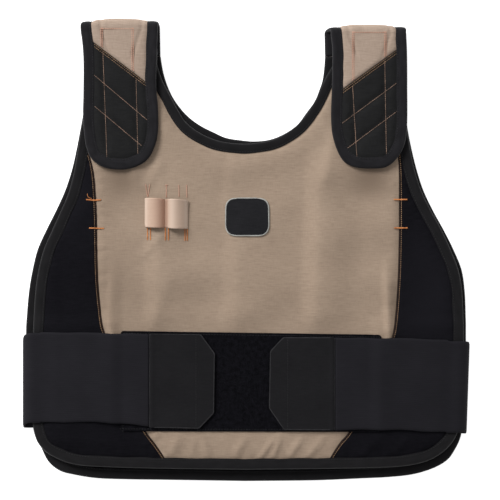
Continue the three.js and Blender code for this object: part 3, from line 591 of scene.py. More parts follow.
# Meshes
def new_piece(name, points, faces, flat, smooth_faces=True):
    """A mesh object with a UV map that holds each point's place in the flat pattern, in metres."""
    mesh = bpy.data.meshes.new(name)
    mesh.from_pydata([tuple(p) for p in points], [], [tuple(int(i) for i in f) for f in faces])
    mesh.validate()
    corners = np.zeros(len(mesh.loops), int)
    mesh.loops.foreach_get("vertex_index", corners)
    layer = mesh.uv_layers.new(name="cloth")
    layer.data.foreach_set("uv", np.asarray(flat, np.float32)[corners].ravel())
    mesh.polygons.foreach_set("use_smooth", [smooth_faces] * len(mesh.polygons))
    mesh.update()
    piece = bpy.data.objects.new(name, mesh)
    bpy.context.scene.collection.objects.link(piece)
    return piece


def cut_cloth(outline, spacing, rings=(), lines=(), seams=()):
    """Flat points and triangles that fill an outline, denser along its edge and along the given lines.
    No triangle crosses a seam."""
    low, high = outline.min(0), outline.max(0)
    edge = Nearest(closed(outline))

    def within(line, clear=EDGE_CLEAR):
        line = line[inside(outline, line)]
        distance, _ = edge(line[:, 0], line[:, 1])
        return line[distance > clear]

    kept = [outline]
    fixed_edges = []
    for line in seams:
        line = within(line)
        first = sum(len(k) for k in kept)
        last = first + len(line) - 1
        fixed_edges += [(i, i + 1) for i in range(first, last)]
        for end, index in ((line[0], first), (line[-1], last)):
            fixed_edges.append((int(np.argmin(np.linalg.norm(outline - end, axis=1))), index))
        kept.append(line)
    near_seams = [Nearest(seam) for seam in seams]
    for ring in rings:
        chain = within(moved(closed(outline), ring), ring * 0.97)
        for near_seam in near_seams:
            distance, _ = near_seam(chain[:, 0], chain[:, 1])
            chain = chain[distance > SEAM_CLEAR]
        kept.append(chain)
    kept += [within(line) for line in lines]
    fixed = np.vstack(kept)
    grid = []
    for j, y in enumerate(np.arange(low[1], high[1], spacing * ROW_SHARE)):
        xs = np.arange(low[0] + (j % 2) * spacing / 2, high[0], spacing)
        grid.append(np.stack([xs, np.full_like(xs, y)], axis=1))
    grid = np.vstack(grid)
    grid = grid[inside(outline, grid)]
    tree = tree_of(fixed)
    clear = np.array([tree.find((x, y, 0))[2] for x, y in grid]) > spacing * 0.62
    points = np.vstack([fixed, grid[clear]])
    found = delaunay_2d_cdt(
        [Vector(p) for p in points], fixed_edges, [list(range(len(outline)))], 1, 1e-7
    )
    return np.array([tuple(v) for v in found[0]]), np.array(found[2])


def slab(name, flat, triangles, under, over, clear_of=(), lined=False):
    """A closed sheet over some of the triangles of cut cloth, between two surfaces.
    lined: its upper face and rim take the second material.
    clear_of: pairs of a seam and the way, 1 or -1 in x, in which the sheet's edge stands clear of it."""
    used, triangles = np.unique(triangles, return_inverse=True)
    triangles = triangles.reshape(-1, 3)
    flat = flat[used].copy()
    for seam, way in clear_of:
        on_seam = np.abs(flat[:, 0] - np.interp(flat[:, 1], seam[:, 1], seam[:, 0])) < 1e-5
        flat[on_seam, 0] += way * SEAM_GAP / 2
    ahead = flat[triangles[:, 1]] - flat[triangles[:, 0]]
    aside = flat[triangles[:, 2]] - flat[triangles[:, 0]]
    turned = ahead[:, 0] * aside[:, 1] - ahead[:, 1] * aside[:, 0] < 0
    triangles[turned] = triangles[turned][:, ::-1]
    count = len(flat)
    low = under(flat[:, 0], flat[:, 1])
    high = np.maximum(over(flat[:, 0], flat[:, 1]), low + 0.0002)
    points = np.vstack([np.column_stack([flat, low]), np.column_stack([flat, high])])
    sides = {}
    for a, b, c in triangles:
        for edge in ((a, b), (b, c), (c, a)):
            sides[edge] = sides.get((edge[1], edge[0]), 0) + 1
    rim = [e for e in sides if (e[1], e[0]) not in sides]
    faces = [tuple(t[::-1]) for t in triangles] + [tuple(t + count) for t in triangles]
    faces += [(a, b, b + count, a + count) for a, b in rim]
    piece = new_piece(name, points, faces, np.vstack([flat, flat]))
    if lined:
        linings = [int(i >= len(triangles)) for i in range(len(faces))]
        piece.data.polygons.foreach_set("material_index", linings)
    return piece


def closed_grid(name, upper, lower, flat):
    """A closed sheet from two grids of points, rows by columns, with the flat place of each."""
    rows, cols = upper.shape[:2]
    count = rows * cols
    at = np.arange(count).reshape(rows, cols)
    a, b, c, d = at[:-1, :-1], at[:-1, 1:], at[1:, 1:], at[1:, :-1]
    top = np.stack([a, b, c, d], axis=-1).reshape(-1, 4)
    faces = [*top, *(top[:, ::-1] + count)]
    ring = [*at[0, :], *at[1:, -1], *at[-1, -2::-1], *at[-2:0:-1, 0]]
    for i, here in enumerate(ring):
        ahead = ring[(i + 1) % len(ring)]
        faces.append((ahead, here, here + count, ahead + count))
    points = np.vstack([upper.reshape(-1, 3), lower.reshape(-1, 3)])
    piece = new_piece(name, points, faces, np.vstack([flat.reshape(-1, 2)] * 2))
    return face_outwards(piece)


def face_outwards(piece):
    """Turns a closed mesh's faces outwards if it is inside out."""
    mesh = piece.data
    mesh.calc_loop_triangles()
    co = np.array([v.co for v in mesh.vertices])
    tri = np.array([t.vertices for t in mesh.loop_triangles])
    volume = np.einsum("ij,ij->i", co[tri[:, 0]], np.cross(co[tri[:, 1]], co[tri[:, 2]])).sum()
    if volume < 0:
        mesh.flip_normals()
    return piece


def tape_profile(width):
    """The tape's section, as inward distances and heights: its outer face round the edge, then the inner."""
    inward = [
        width, width - 0.0003, width - TAPE_GROOVE, width - 2 * TAPE_GROOVE, width * 0.5, BINDING_NOSE * 1.3,
    ]
    domed = [0.0015, 0.0017, 0.0015, 0.0021, 0.00245, 0.00245]
    upper = np.column_stack([inward, domed])
    turn = np.radians(np.linspace(80, -80, 9))
    nose = np.column_stack([BINDING_NOSE * (1 - np.cos(turn)), BINDING_HALF * np.sin(turn)])
    lining = BINDING_HALF - BINDING_CLOTH
    rim = RIM_HALF + 0.0001
    inner = [
        [width - 0.0001, -rim], [BINDING_NOSE, -lining], [BINDING_CLOTH, 0], [BINDING_NOSE, lining],
        [width - 0.0001, rim],
    ]
    return np.vstack([upper, nose, upper[::-1] * [1, -1], inner])


def tape(name, chain, place, seed, width=BINDING_WIDTH):
    """Binding tape folded over an edge. place turns x, y and height over the cloth's middle into points."""
    profile = tape_profile(width)
    run = run_of(chain)
    left = left_of(chain)
    squeeze = 1 + TAPE_SQUEEZE * ripple(run, TAPE_SQUEEZE_WAVE, seed)
    shift = TAPE_WANDER * ripple(run, TAPE_WANDER_WAVE, seed + 1)
    inward = profile[:, 0] * (1 + shift[:, None] / width)
    x = chain[:, :1] + left[:, :1] * inward
    y = chain[:, 1:] + left[:, 1:] * inward
    rings = place(x, y, squeeze[:, None] * profile[:, 1])
    count = len(profile)
    at = np.arange(len(chain) * count).reshape(len(chain), count)
    a, b = at[:-1], np.roll(at[:-1], -1, axis=1)
    c, d = np.roll(at[1:], -1, axis=1), at[1:]
    faces = list(np.stack([a, b, c, d], axis=-1).reshape(-1, 4))
    faces.append(tuple(at[0][::-1]))
    faces.append(tuple(at[-1]))
    flat = np.stack(np.broadcast_arrays(run[:, None], run_of(profile)[None, :]), axis=-1)
    return face_outwards(new_piece(name, rings.reshape(-1, 3), faces, flat.reshape(-1, 2)))


def on_surface(surface):
    """A place function for tape and its stitches, which lie over a surface."""
    return lambda x, y, high: np.stack([x, y, surface(x, y) + high], axis=-1)


def inset_loop(side, neck, distance):
    """A panel's outline, shifted inwards."""
    return np.vstack([moved(side, distance), moved(neck, distance)])


# Back panel
on_back = on_surface(back_middle)
pieces = {}
back_cut = cut_cloth(inset_loop(back_side, back_neck, RIM_INSET), BACK_GRID, EDGE_RINGS)
pieces["back_panel"] = slab("vest_back", *back_cut, back_under, back_top, lined=True)
pieces["back_edge_binding"] = tape("back_edge_tape", back_side, on_back, 11)
pieces["back_neck_binding"] = tape("back_neck_tape", back_neck, on_back, 12)

# Front panel: one cut, parted at the two side seams, with denser lines along both
BESIDE_SEAM = (0.0011, 0.0024, 0.0042, 0.0065, 0.0085, 0.0105, 0.0125, 0.0145)
on_front = on_surface(front_middle)
seam_lines = [
    moved(seam, away)
    for seam in (seam_left, seam_right)
    for away in (*(-step for step in BESIDE_SEAM[::-1]), *BESIDE_SEAM)
]
front_outline = inset_loop(front_side, front_neck, RIM_INSET)
front_flat, front_triangles = cut_cloth(
    front_outline, FRONT_GRID, EDGE_RINGS, seam_lines, (seam_left, seam_right)
)
middles = front_flat[front_triangles].mean(axis=1)
in_left = middles[:, 0] < np.interp(middles[:, 1], seam_left[:, 1], seam_left[:, 0])
in_right = middles[:, 0] > np.interp(middles[:, 1], seam_right[:, 1], seam_right[:, 0])
for name, chosen, top, seams in (
    ("centre", ~in_left & ~in_right, centre_top, [(seam_left, 1), (seam_right, -1)]),
    ("side_left", in_left, side_top, [(seam_left, -1)]),
    ("side_right", in_right, side_top, [(seam_right, 1)]),
):
    pieces["front_panel_" + name] = slab(
        "front_" + name, front_flat, front_triangles[chosen], front_under, top, seams
    )
pieces["front_edge_binding"] = tape("front_edge_tape", front_side, on_front, 13)
pieces["front_neck_binding"] = tape("front_neck_tape", front_neck, on_front, 14, NECK_TAPE_WIDTH)


# Shoulder straps
def tip_rise(y):
    """How far a flap's tip stands up off the front."""
    return TIP_RISE * smooth((TIP_RISE_Y - y) / 0.03)


def strap_route(strap):
    """Takes a strap's flat pattern, across and along from the shoulder seam, and bends it over the fold."""
    fold_y = strap["fold_y"] - FOLD_RADIUS - STRAP_PAD / 2
    low_run = fold_y - SHOULDER_SEAM_Y
    turn = math.pi * FOLD_RADIUS

    def place(across, along, high):
        inward = 0.5 - strap["side"] * across / STRAP_WIDTH
        rolled = smooth((along - low_run) / turn)
        x = strap["middle"] + across - strap["side"] * strap["shift"] * inward * (1 - rolled)
        angle = np.clip((along - low_run) / FOLD_RADIUS, 0, math.pi)
        radius = FOLD_RADIUS + high
        y = fold_y + radius * np.sin(angle) + np.minimum(along - low_run, 0)
        y = y - np.maximum(along - low_run - turn, 0)
        z = STRAP_LOW + FOLD_RADIUS - radius * np.cos(angle) + tip_rise(y)
        dome = FOLD_DOME * (1 - (2 * across / STRAP_WIDTH) ** 2) - FOLD_SINK
        y = y + dome * np.sin(angle) ** 2
        return np.stack([x, y, z], axis=-1)

    def along_at(y):
        return low_run + turn + fold_y - y

    return place, along_at, low_run + turn / 3


def slant_y(strap, across):
    """y of the seam between a strap and its dark end, at a distance across from the strap's middle."""
    share = 0.5 + strap["side"] * across / STRAP_WIDTH
    return mixed(strap["seam_in_y"], strap["seam_out_y"], share)


def strap_half(inward):
    """Half the strap's thickness: pressed flat in its binding, padded inwards of it."""
    return mixed(RIM_HALF, STRAP_PAD / 2, swell((inward - BINDING_WIDTH) / STRAP_SLOPE))


strap_edges = {}
for strap in STRAPS:
    name = strap["name"]
    place, along_at, bend = strap_route(strap)
    flap_edge = np.array(FLAP_EDGES[name])
    across = flap_edge[:, 0] - strap["middle"]
    half = STRAP_WIDTH / 2
    edge = respaced(through(np.vstack([
        [half, SEAM_GAP / 2],
        [mixed(half, across[0], 0.6), bend],
        np.column_stack([across, along_at(flap_edge[:, 1])]),
        [mixed(-half, across[-1], 0.6), bend],
        [-half, SEAM_GAP / 2],
    ]), STRAP_STEP), STRAP_STEP)
    tip = int(np.argmax(edge[:, 1]))
    right_side, left_side = edge[:tip + 1], edge[tip:][::-1]
    share = np.linspace(0, 1, STRAP_COLUMNS)
    ends = np.full(STRAP_COLUMNS, along_at(strap["seam_in_y"]))
    # Where the strap meets its slanting seam depends on its width there, so a few rounds close in on it
    for _ in range(5):
        low = np.interp(ends, left_side[:, 1], left_side[:, 0]) + RIM_INSET
        high = np.interp(ends, right_side[:, 1], right_side[:, 0]) - RIM_INSET
        ends = along_at(slant_y(strap, mixed(low, high, share))) - 0.0002
    stops = np.linspace(0, 1, STRAP_ROWS)[:, None]
    along = SEAM_GAP / 2 + stops * (ends - SEAM_GAP / 2)
    low = np.interp(along, left_side[:, 1], left_side[:, 0])
    high = np.interp(along, right_side[:, 1], right_side[:, 0])
    across = mixed(low + RIM_INSET, high - RIM_INSET, share)
    thick = strap_half(np.minimum(across - low, high - across))
    thick = thick - GROOVE["deep"] * ridge((ends - along) / 0.0025)
    thick = thick + 0.00025 * crumple(across, along, 0.03, 50 + strap["side"]) * (thick > STRAP_PAD * 0.4)
    for crease_side in (-1, 1):
        drawn_in = STRAP_CREASE["bow"] * np.maximum(along - bend - 0.016, 0)
        bowed = across - crease_side * (STRAP_CREASE["aside"] - drawn_in)
        pressed = ridge(bowed / STRAP_CREASE["wide"]) * smooth((along - bend) / 0.008)
        ends_at = along_at(STRAP_CREASE["low_y"])
        thick = thick - STRAP_CREASE["deep"] * pressed * smooth((ends_at - along) / 0.012)
    thick = np.maximum(thick, RIM_HALF * 0.8)
    pieces["shoulder_strap_" + name] = closed_grid(
        "strap_" + name, place(across, along, thick), place(across, along, -thick),
        np.stack([across, along], axis=-1),
    )
    strap_edges[name] = (edge, place, along_at)
    pieces["strap_binding_" + name] = tape("strap_tape_" + name, edge, place, 20 + strap["side"])

# The straps' dark ends, quilted in channels
flap_tops = {}
for strap in STRAPS:
    name = strap["name"]
    flap_edge = np.array(FLAP_EDGES[name])
    whole = [flap_edge[0] + FLAP_RUN_ON, *flap_edge, flap_edge[-1] + FLAP_RUN_ON]
    whole = respaced(through(whole, FLAP_STEP), FLAP_STEP)
    to_flap_edge = Nearest(whole)
    inner = moved(whole[::-1], RIM_INSET)[::-1]
    outline = inner[inner[:, 1] < slant_y(strap, inner[:, 0] - strap["middle"]) + 0.0003]
    top_line = np.linspace(outline[-1], outline[0], 40)[1:-1]
    top_line[:, 1] = slant_y(strap, top_line[:, 0] - strap["middle"]) - 0.0002
    outline = anticlockwise(np.vstack([outline, top_line]))

    def flap_half(x, y, name=name, strap=strap, near=to_flap_edge):
        distance, _ = near(x, y)
        pad = (distance - BINDING_WIDTH - TAPE_CLEAR) / FLAP_SLOPE
        high = mixed(RIM_HALF, STRAP_PAD / 2 + 0.0003, swell(pad))
        for line in QUILTING[name]:
            high = high - CHANNEL["deep"] * ridge(to_line(x, y, line) / CHANNEL["wide"]) * smooth(pad)
        below_seam = slant_y(strap, x - strap["middle"]) - y
        high = high - 0.0008 * ridge((below_seam - 0.0045) / 0.002) * smooth(pad)
        return np.maximum(high, RIM_HALF)

    def flap_top(x, y, half=flap_half):
        return FLAP_MIDDLE + tip_rise(y) + half(x, y)

    def flap_under(x, y, half=flap_half):
        return FLAP_MIDDLE + tip_rise(y) - half(x, y)

    flap_tops[name] = flap_top
    flat, triangles = cut_cloth(outline, FLAP_GRID, EDGE_RINGS[1:3])
    pieces["strap_end_" + name] = slab("flap_" + name, flat, triangles, flap_under, flap_top)


# Loop field, tabs and patch, each laid on the front
def laid(name, outline, spacing, lowest, thick, bevel=0.0006, relief=None):
    """A flat piece of cloth on the front, its upper edges rounded."""
    edge = Nearest(closed(outline))

    def under(x, y):
        return front_level(x, y) + lowest

    def over(x, y):
        distance, _ = edge(x, y)
        high = under(x, y) + thick
        high = high - bevel * (1 - swell(distance / (bevel * 2)))
        return high if relief is None else high + relief(x, y)

    flat, triangles = cut_cloth(outline, spacing, (bevel * 0.5, bevel * 1.2, bevel * 2.2))
    return slab(name, flat, triangles, under, over)


def polygon(corners, spacing):
    return respaced(np.array([*corners, corners[0]], float), spacing)[:-1]


def rounded(corners, radius, spacing):
    """A polygon with rounded corners."""
    p = np.array(corners, float)
    points = []
    for i, here in enumerate(p):
        before = p[i - 1] - here
        after = p[(i + 1) % len(p)] - here
        before /= np.linalg.norm(before)
        after /= np.linalg.norm(after)
        for t in np.linspace(0, 1, 7):
            start, end = here + before * radius, here + after * radius
            points.append((1 - t) ** 2 * start + 2 * t * (1 - t) * here + t * t * end)
    return polygon(points, spacing)


def pile_relief(x, y):
    """The uneven height of the loop field's pile."""
    return 0.00015 * crumple(x, y, 0.006, 31)


def seam_bulge(seam):
    """The relief of a tab where it is turned under and sewn to its belt."""
    return lambda x, y: 0.0011 * ridge((np.abs(x) - seam + 0.0030) / 0.0015)


FIELD_TOP = SEAM_GAP + FIELD_THICK
TAB_LOW = FIELD_TOP + SEAM_GAP
field_outline = anticlockwise(rounded(FIELD, 0.003, 0.0025))
tab_outlines = {name: anticlockwise(rounded(corners, 0.0012, 0.0022)) for name, corners in TABS.items()}
pieces["loop_field"] = laid(
    "waist_loop_field", field_outline, FIELD_GRID, SEAM_GAP, FIELD_THICK, relief=pile_relief
)
for name, outline in tab_outlines.items():
    bulge = seam_bulge(abs(TABS[name][0][0]))
    pieces["belt_tab_" + name] = laid("tab_" + name, outline, TAB_GRID, TAB_LOW, TAB_THICK, TAB_BEVEL, bulge)
patch_corners = [(PATCH["x"] + a * PATCH["width"] / 2, PATCH["y"] + b * PATCH["height"] / 2)
                 for a, b in ((-1, -1), (1, -1), (1, 1), (-1, 1))]
patch_outline = anticlockwise(rounded(patch_corners, PATCH["corner"] * 1.4, 0.0012))
pieces["chest_patch"] = laid(
    "chest_patch_cloth", patch_outline, PATCH_GRID, SEAM_GAP, PATCH_THICK, PATCH_BEVEL
)


# Belts
def belt_seat(belt, x):
    """The height of the elastic's middle over the front and the loop field, with its soft bulge."""
    off_field = smooth((x - FIELD_END_X) / (2 * BAND_RAMP))
    raised = mixed(FIELD_THICK + SEAM_GAP, 0, off_field)
    level = front_level(np.minimum(x, BELT_LEVEL_X) * belt["side"], np.full_like(x, BELT_MIDDLE_Y))
    bulge = BELT_BULGE["high"] * ridge((x - BELT_BULGE["x"]) / BELT_BULGE["wide"]) - 0.0002 * np.cos(x * 150)
    return level + SEAM_GAP + raised + BELT_THICK / 2 + np.maximum(bulge, 0)


def belt_route(belt):
    """Points (x outwards, z) of the elastic's middle, from its end under the vest to the tab's seam."""
    turn_x = belt["outer"] - BELT_THICK / 2 - BELT_BEND
    crown_x = belt["outer"] - BELT_THICK / 2 - BELT_SOFT_BEND
    top_x = np.linspace(crown_x - 0.003, belt["seam"] + 0.0002, 60)
    crown = belt_seat(belt, np.array([crown_x]))[0]
    lower = [(turn_x + BELT_BEND * math.cos(a), BELT_THICK / 2 + BELT_BEND + BELT_BEND * math.sin(a))
             for a in np.linspace(-math.pi / 2, 0, 8)]
    drop = crown - BELT_THICK / 2 - BELT_BEND - 0.001
    upper = [(crown_x + BELT_SOFT_BEND * math.cos(a), crown - drop + drop * math.sin(a))
             for a in np.linspace(0, math.pi / 2, 14)]
    tail = [(x, BELT_THICK / 2) for x in np.linspace(TAIL_START, turn_x - 0.003, 12)]
    return np.array([*tail, *lower, *upper, *zip(top_x, belt_seat(belt, top_x))])


for belt in BELTS:
    route = belt_route(belt)
    outward = -left_of(route)
    run = run_of(route)
    edges = np.array(belt["edges"])
    over_front = run > run[-1] * 0.5
    sunk = belt["under_y"] * (1 - smooth((route[:, 1] - 0.002) / 0.018))
    top_y = np.where(over_front, np.interp(route[:, 0], edges[:, 0], edges[:, 1]), edges[-1, 1] + sunk)
    low_y = np.where(over_front, np.interp(route[:, 0], edges[:, 0], edges[:, 2]), edges[-1, 2] + sunk)
    share = np.linspace(0, 1, 49)
    rounding = 1 - 0.55 * np.abs(2 * share - 1) ** 60
    grids = []
    for face in (1, -1):
        high = face * BELT_THICK / 2 * np.broadcast_to(rounding, (len(route), len(share)))
        drawn_in = belt["slant"] * (1 - share) * smooth((route[:, :1] - 0.19) / 0.05)
        x = belt["side"] * (route[:, :1] + outward[:, :1] * high - drawn_in)
        y = mixed(low_y[:, None], top_y[:, None], share) + 0.0003 * ripple(run, 0.04, 41)[:, None]
        z = route[:, 1:] + outward[:, 1:] * high
        grids.append(np.stack([x, y, z], axis=-1))
    flat = np.stack(np.broadcast_arrays(run[:, None], share * BELT_WIDTH), axis=-1)
    pieces["belt_" + belt["name"]] = closed_grid("elastic_" + belt["name"], *grids, flat)
    belt["length"] = run[-1]


# Pen holder: an elastic band tacked down at its ends and in the middle
def pen_rise(along):
    """How high the band's two loops stand."""
    total = np.zeros_like(along)
    for start, end in PEN["loops"]:
        share = np.clip((along - start) / (end - start), 0, 1)
        total = total + PEN["high"] * np.sin(math.pi * share ** 0.78) ** 0.7
    return total


def pen_band():
    """The band as a closed sheet, and its length along the two loops."""
    half = PEN["thick"] / 2
    along = np.linspace(0, PEN["length"], 161)
    across = np.linspace(-PEN["width"] / 2, PEN["width"] / 2, 25)
    grid_along, grid_across = np.meshgrid(along, across, indexing="ij")
    rise = pen_rise(grid_along)
    bow = 1 + 0.045 * rise / PEN["high"]
    flare = 1 + 0.06 * (2 * grid_across / PEN["width"]) ** 2
    x = PEN["left"] + grid_along
    y = PEN["middle_y"] - PEN["sink"] * (grid_along / PEN["length"] - 0.25) + grid_across * bow
    seat = front_level(x, np.full_like(y, PEN["middle_y"])) + SEAM_GAP
    middle = seat + rise * flare + half
    slope = np.arctan(np.gradient(middle, along, axis=0))
    grids = [
        np.stack([x - face * np.sin(slope) * half, y, middle + face * np.cos(slope) * half], axis=-1)
        for face in (1, -1)
    ]
    run = run_of(np.column_stack([along, middle[:, len(across) // 2]]))
    flat = np.stack(np.broadcast_arrays(run[:, None], across), axis=-1)
    return closed_grid("pen_band", *grids, flat), run[-1]


pieces["pen_loops"], pen_length = pen_band()


# Finishes
class Link:
    """A node's output, with sums that add Math nodes."""

    def __init__(self, finish, socket):
        self.finish = finish
        self.socket = socket

    def sum(self, how, first, second):
        return self.finish.add("ShaderNodeMath", {"operation": how}, {0: first, 1: second})

    def __add__(self, other):
        return self.sum("ADD", self, other)

    def __radd__(self, other):
        return self.sum("ADD", other, self)

    def __sub__(self, other):
        return self.sum("SUBTRACT", self, other)

    def __rsub__(self, other):
        return self.sum("SUBTRACT", other, self)

    def __mul__(self, other):
        return self.sum("MULTIPLY", self, other)

    def __rmul__(self, other):
        return self.sum("MULTIPLY", other, self)

    def __truediv__(self, other):
        return self.sum("DIVIDE", self, other)

    def __rtruediv__(self, other):
        return self.sum("DIVIDE", other, self)

    def __pow__(self, other):
        return self.sum("POWER", self, other)

    def sine(self):
        return self.finish.add("ShaderNodeMath", {"operation": "SINE"}, {0: self})

    def clamped(self):
        return self.finish.add("ShaderNodeMath", {"operation": "ADD", "use_clamp": True}, {0: self, 1: 0.0})


class Finish:
    """A material under way. u and v are places in the flat cloth, in metres."""

    def __init__(self, name, roughness, specular, sheen=0.0):
        self.material = bpy.data.materials.new(name)
        self.material.use_nodes = True
        self.tree = self.material.node_tree
        self.shader = self.tree.nodes["Principled BSDF"]
        self.set(self.shader, {
            "Roughness": roughness, "Specular IOR Level": specular,
            "Sheen Weight": sheen, "Sheen Roughness": 0.5, "Sheen Tint": (1, 1, 1, 1),
        })
        place = self.add("ShaderNodeUVMap", {"uv_map": "cloth"})
        self.u = self.add("ShaderNodeSeparateXYZ", {}, {0: place}, 0)
        self.v = Link(self, self.u.socket.node.outputs[1])

    def set(self, node, inputs):
        for name, value in inputs.items():
            if isinstance(value, Link):
                self.tree.links.new(value.socket, node.inputs[name])
            else:
                node.inputs[name].default_value = value

    def add(self, kind, settings=None, inputs=None, output=0):
        """Any node: its settings first, then the values or links of its sockets."""
        node = self.tree.nodes.new(kind)
        for name, value in (settings or {}).items():
            setattr(node, name, value)
        self.set(node, inputs or {})
        return Link(self, node.outputs[output])

    def noise(self, x, y, detail=2.0):
        """Noise over the cloth, with x and y already scaled to its grain."""
        place = self.add("ShaderNodeCombineXYZ", {}, {0: x, 1: y})
        return self.add("ShaderNodeTexNoise", {"noise_dimensions": "2D"},
                        {"Vector": place, "Scale": 1.0, "Detail": detail}, "Fac")

    def colour(self, share, low, high):
        ends = [end if isinstance(end, Link) else (*end, 1) for end in (low, high)]
        return self.add("ShaderNodeMix", {"data_type": "RGBA"}, {0: share, 6: ends[0], 7: ends[1]}, 2)

    def done(self, colour, relief, depth):
        bump = self.add("ShaderNodeBump", {}, {"Strength": 1.0, "Distance": depth, "Height": relief})
        self.set(self.shader, {"Base Color": colour, "Normal": bump})
        return self.material


def woven(name, low, high, pitch=0.0009, specular=0.15, streak=0.6, depth=0.00016, places=(), tint=None):
    """Plain weave with slubs along its rows. places: where it takes the tint, how wide and how much."""
    finish = Finish(name, 0.9, specular)
    u, v = finish.u, finish.v
    slub = finish.noise(u * 130, v * 1300) * 0.6 + finish.noise(u * 55, v * 620, 1.0) * 0.4
    cross = finish.noise(u * 1300, v * 130)
    cloud = finish.noise(u * 28, v * 28)
    thread = (u * (2 * math.pi / pitch)).sine() * (v * (2 * math.pi / pitch)).sine()
    share = (slub - 0.5) * (2.4 * streak) + (cross - 0.5) * (0.9 * streak) + (cloud - 0.5) * 0.5 + 0.5
    share = (share + thread * 0.08).clamped()
    relief = thread * 0.4 + slub + cross * 0.6
    colour = finish.colour(share, low, high)
    for x, y, wide, much in places:
        ahead, aside = (u - x) / wide, (v - y) / wide
        near = (1 - ahead * ahead - aside * aside).clamped()
        colour = finish.colour((near * near * much).clamped(), colour, tint)
    return finish.done(colour, relief, depth)


def taped(name, low, high, pitch=0.0013):
    """Twill tape: fine slanting ribs, and a nap that lights up along its rolled edge."""
    finish = Finish(name, 0.75, 0.12, 0.13)
    u, v = finish.u, finish.v
    rib = ((u + v * 0.8) * (2 * math.pi / pitch)).sine()
    worn = finish.noise(u * 60, v * 240)
    share = ((worn - 0.5) * 1.2 + 0.5 + rib * 0.12).clamped()
    return finish.done(finish.colour(share, low, high), rib * 0.4 + worn, 0.00008)


def ribbed(name, low, high, pitch, contrast=0.7, depth=0.00003, tones=()):
    """Woven elastic: ribs along its length, crossed by fine picks.
    tones: where along it, how wide and what colour its painted light and shade are."""
    finish = Finish(name, 0.85, 0.12)
    u, v = finish.u, finish.v
    rib = (v * (2 * math.pi / pitch)).sine()
    pick = (u * (2 * math.pi / 0.0011)).sine()
    haze = finish.noise(u * 60, v * 500)
    cloud = finish.noise(u * 24, v * 24)
    share = ((haze - 0.5) * 0.5 + (cloud - 0.5) * 0.6 + 0.5 + rib * 0.08 + pick * 0.05) - 0.5
    share = (share * contrast + 0.5).clamped()
    colour = finish.colour(share, low, high)
    for at, wide, tint in tones:
        away = (u - at) / wide
        colour = finish.colour(1 / (away * away + 1), colour, tint)
    return finish.done(colour, rib + pick * 0.4 + haze, depth)


def piled(name, low, high):
    """Loop pile: a tangle of tiny loops."""
    finish = Finish(name, 0.95, 0.04, 0.02)
    u, v = finish.u, finish.v
    fuzz = finish.noise(u * 900, v * 900, 4.0)
    tuft = finish.noise(u * 220, v * 220, 3.0)
    share = ((fuzz - 0.5) * 1.6 + (tuft - 0.5) * 1.2 + 0.45).clamped()
    return finish.done(finish.colour(share, low, high), fuzz + tuft, 0.0005)


def threaded(name, low, high):
    """Sewing thread: a fine twist, lighter where it catches."""
    finish = Finish(name, 0.6, 0.25)
    place = finish.add("ShaderNodeTexCoord", {}, {}, "Object")
    fade = finish.add("ShaderNodeTexNoise", {}, {"Vector": place, "Scale": 160.0, "Detail": 2.0}, "Fac")
    twist = finish.add("ShaderNodeTexNoise", {}, {"Vector": place, "Scale": 4000.0, "Detail": 1.0}, "Fac")
    share = ((fade - 0.5) * 1.8 + 0.4 + twist * 0.2).clamped()
    return finish.done(finish.colour(share, low, high), twist, 0.00004)


# Places (x, y) where cloth has another tone, how wide and how much. On the tan canvas the first two, under
# the flaps' tips, are painted shade cast by the flaps; the other three only make the tan darker over its
# left side and faintly on its right.
PAINTED_SHADE_AND_DARK_PLACES = [
    (-0.137, 0.081, 0.034, 1.0), (0.137, 0.081, 0.034, 1.0), (-0.152, -0.045, 0.085, 0.42),
    (-0.150, 0.050, 0.070, 0.22), (0.135, 0.020, 0.060, 0.06),
]
FADED_PLACES = [(0.215, -0.045, 0.095, 0.9), (-0.200, 0.060, 0.060, 0.5)]
# The tan canvas takes its darker tint at those places: painted shade under the flaps, a darker tone
# elsewhere.
canvas = woven("tan_canvas", (0.284, 0.211, 0.156), (0.366, 0.278, 0.208), streak=0.8,
               places=PAINTED_SHADE_AND_DARK_PLACES, tint=(0.204, 0.150, 0.110))
# The straps' canvas: pinker than the tan canvas in its own tone, and lighter as a painted highlight on the
# straps' tops.
strap_canvas = woven("pinker_strap_canvas_painted_highlight", (0.322, 0.243, 0.190), (0.424, 0.326, 0.260), streak=0.8)
black_lining = woven("black_lining", (0.0030, 0.0029, 0.0034), (0.0070, 0.0068, 0.0080), specular=0.04)
side_cloth = woven("black_side_cloth", (0.0034, 0.0032, 0.0046), (0.0076, 0.0072, 0.0096),
                   specular=0.05, places=FADED_PLACES, tint=(0.0098, 0.0093, 0.0122))
binding_tape = taped("black_binding_tape", (0.0027, 0.0025, 0.0031), (0.0074, 0.0068, 0.0080))
strap_tape = taped("black_strap_tape", (0.0040, 0.0037, 0.0048), (0.0112, 0.0104, 0.0128))
quilted_cloth = woven("quilted_black_cloth", (0.0066, 0.0066, 0.0070), (0.0148, 0.0148, 0.0152),
                      specular=0.16)
elastic = ribbed("ribbed_black_elastic", (0.0075, 0.0070, 0.0092), (0.0150, 0.0143, 0.0180),
                 pitch=0.0021)
tab_cloth = woven("black_tab_cloth", (0.0085, 0.0083, 0.0094), (0.0135, 0.0130, 0.0145), specular=0.1)
loop_pile = piled("black_loop_pile", (0.0012, 0.0012, 0.0017), (0.0072, 0.0069, 0.0096))
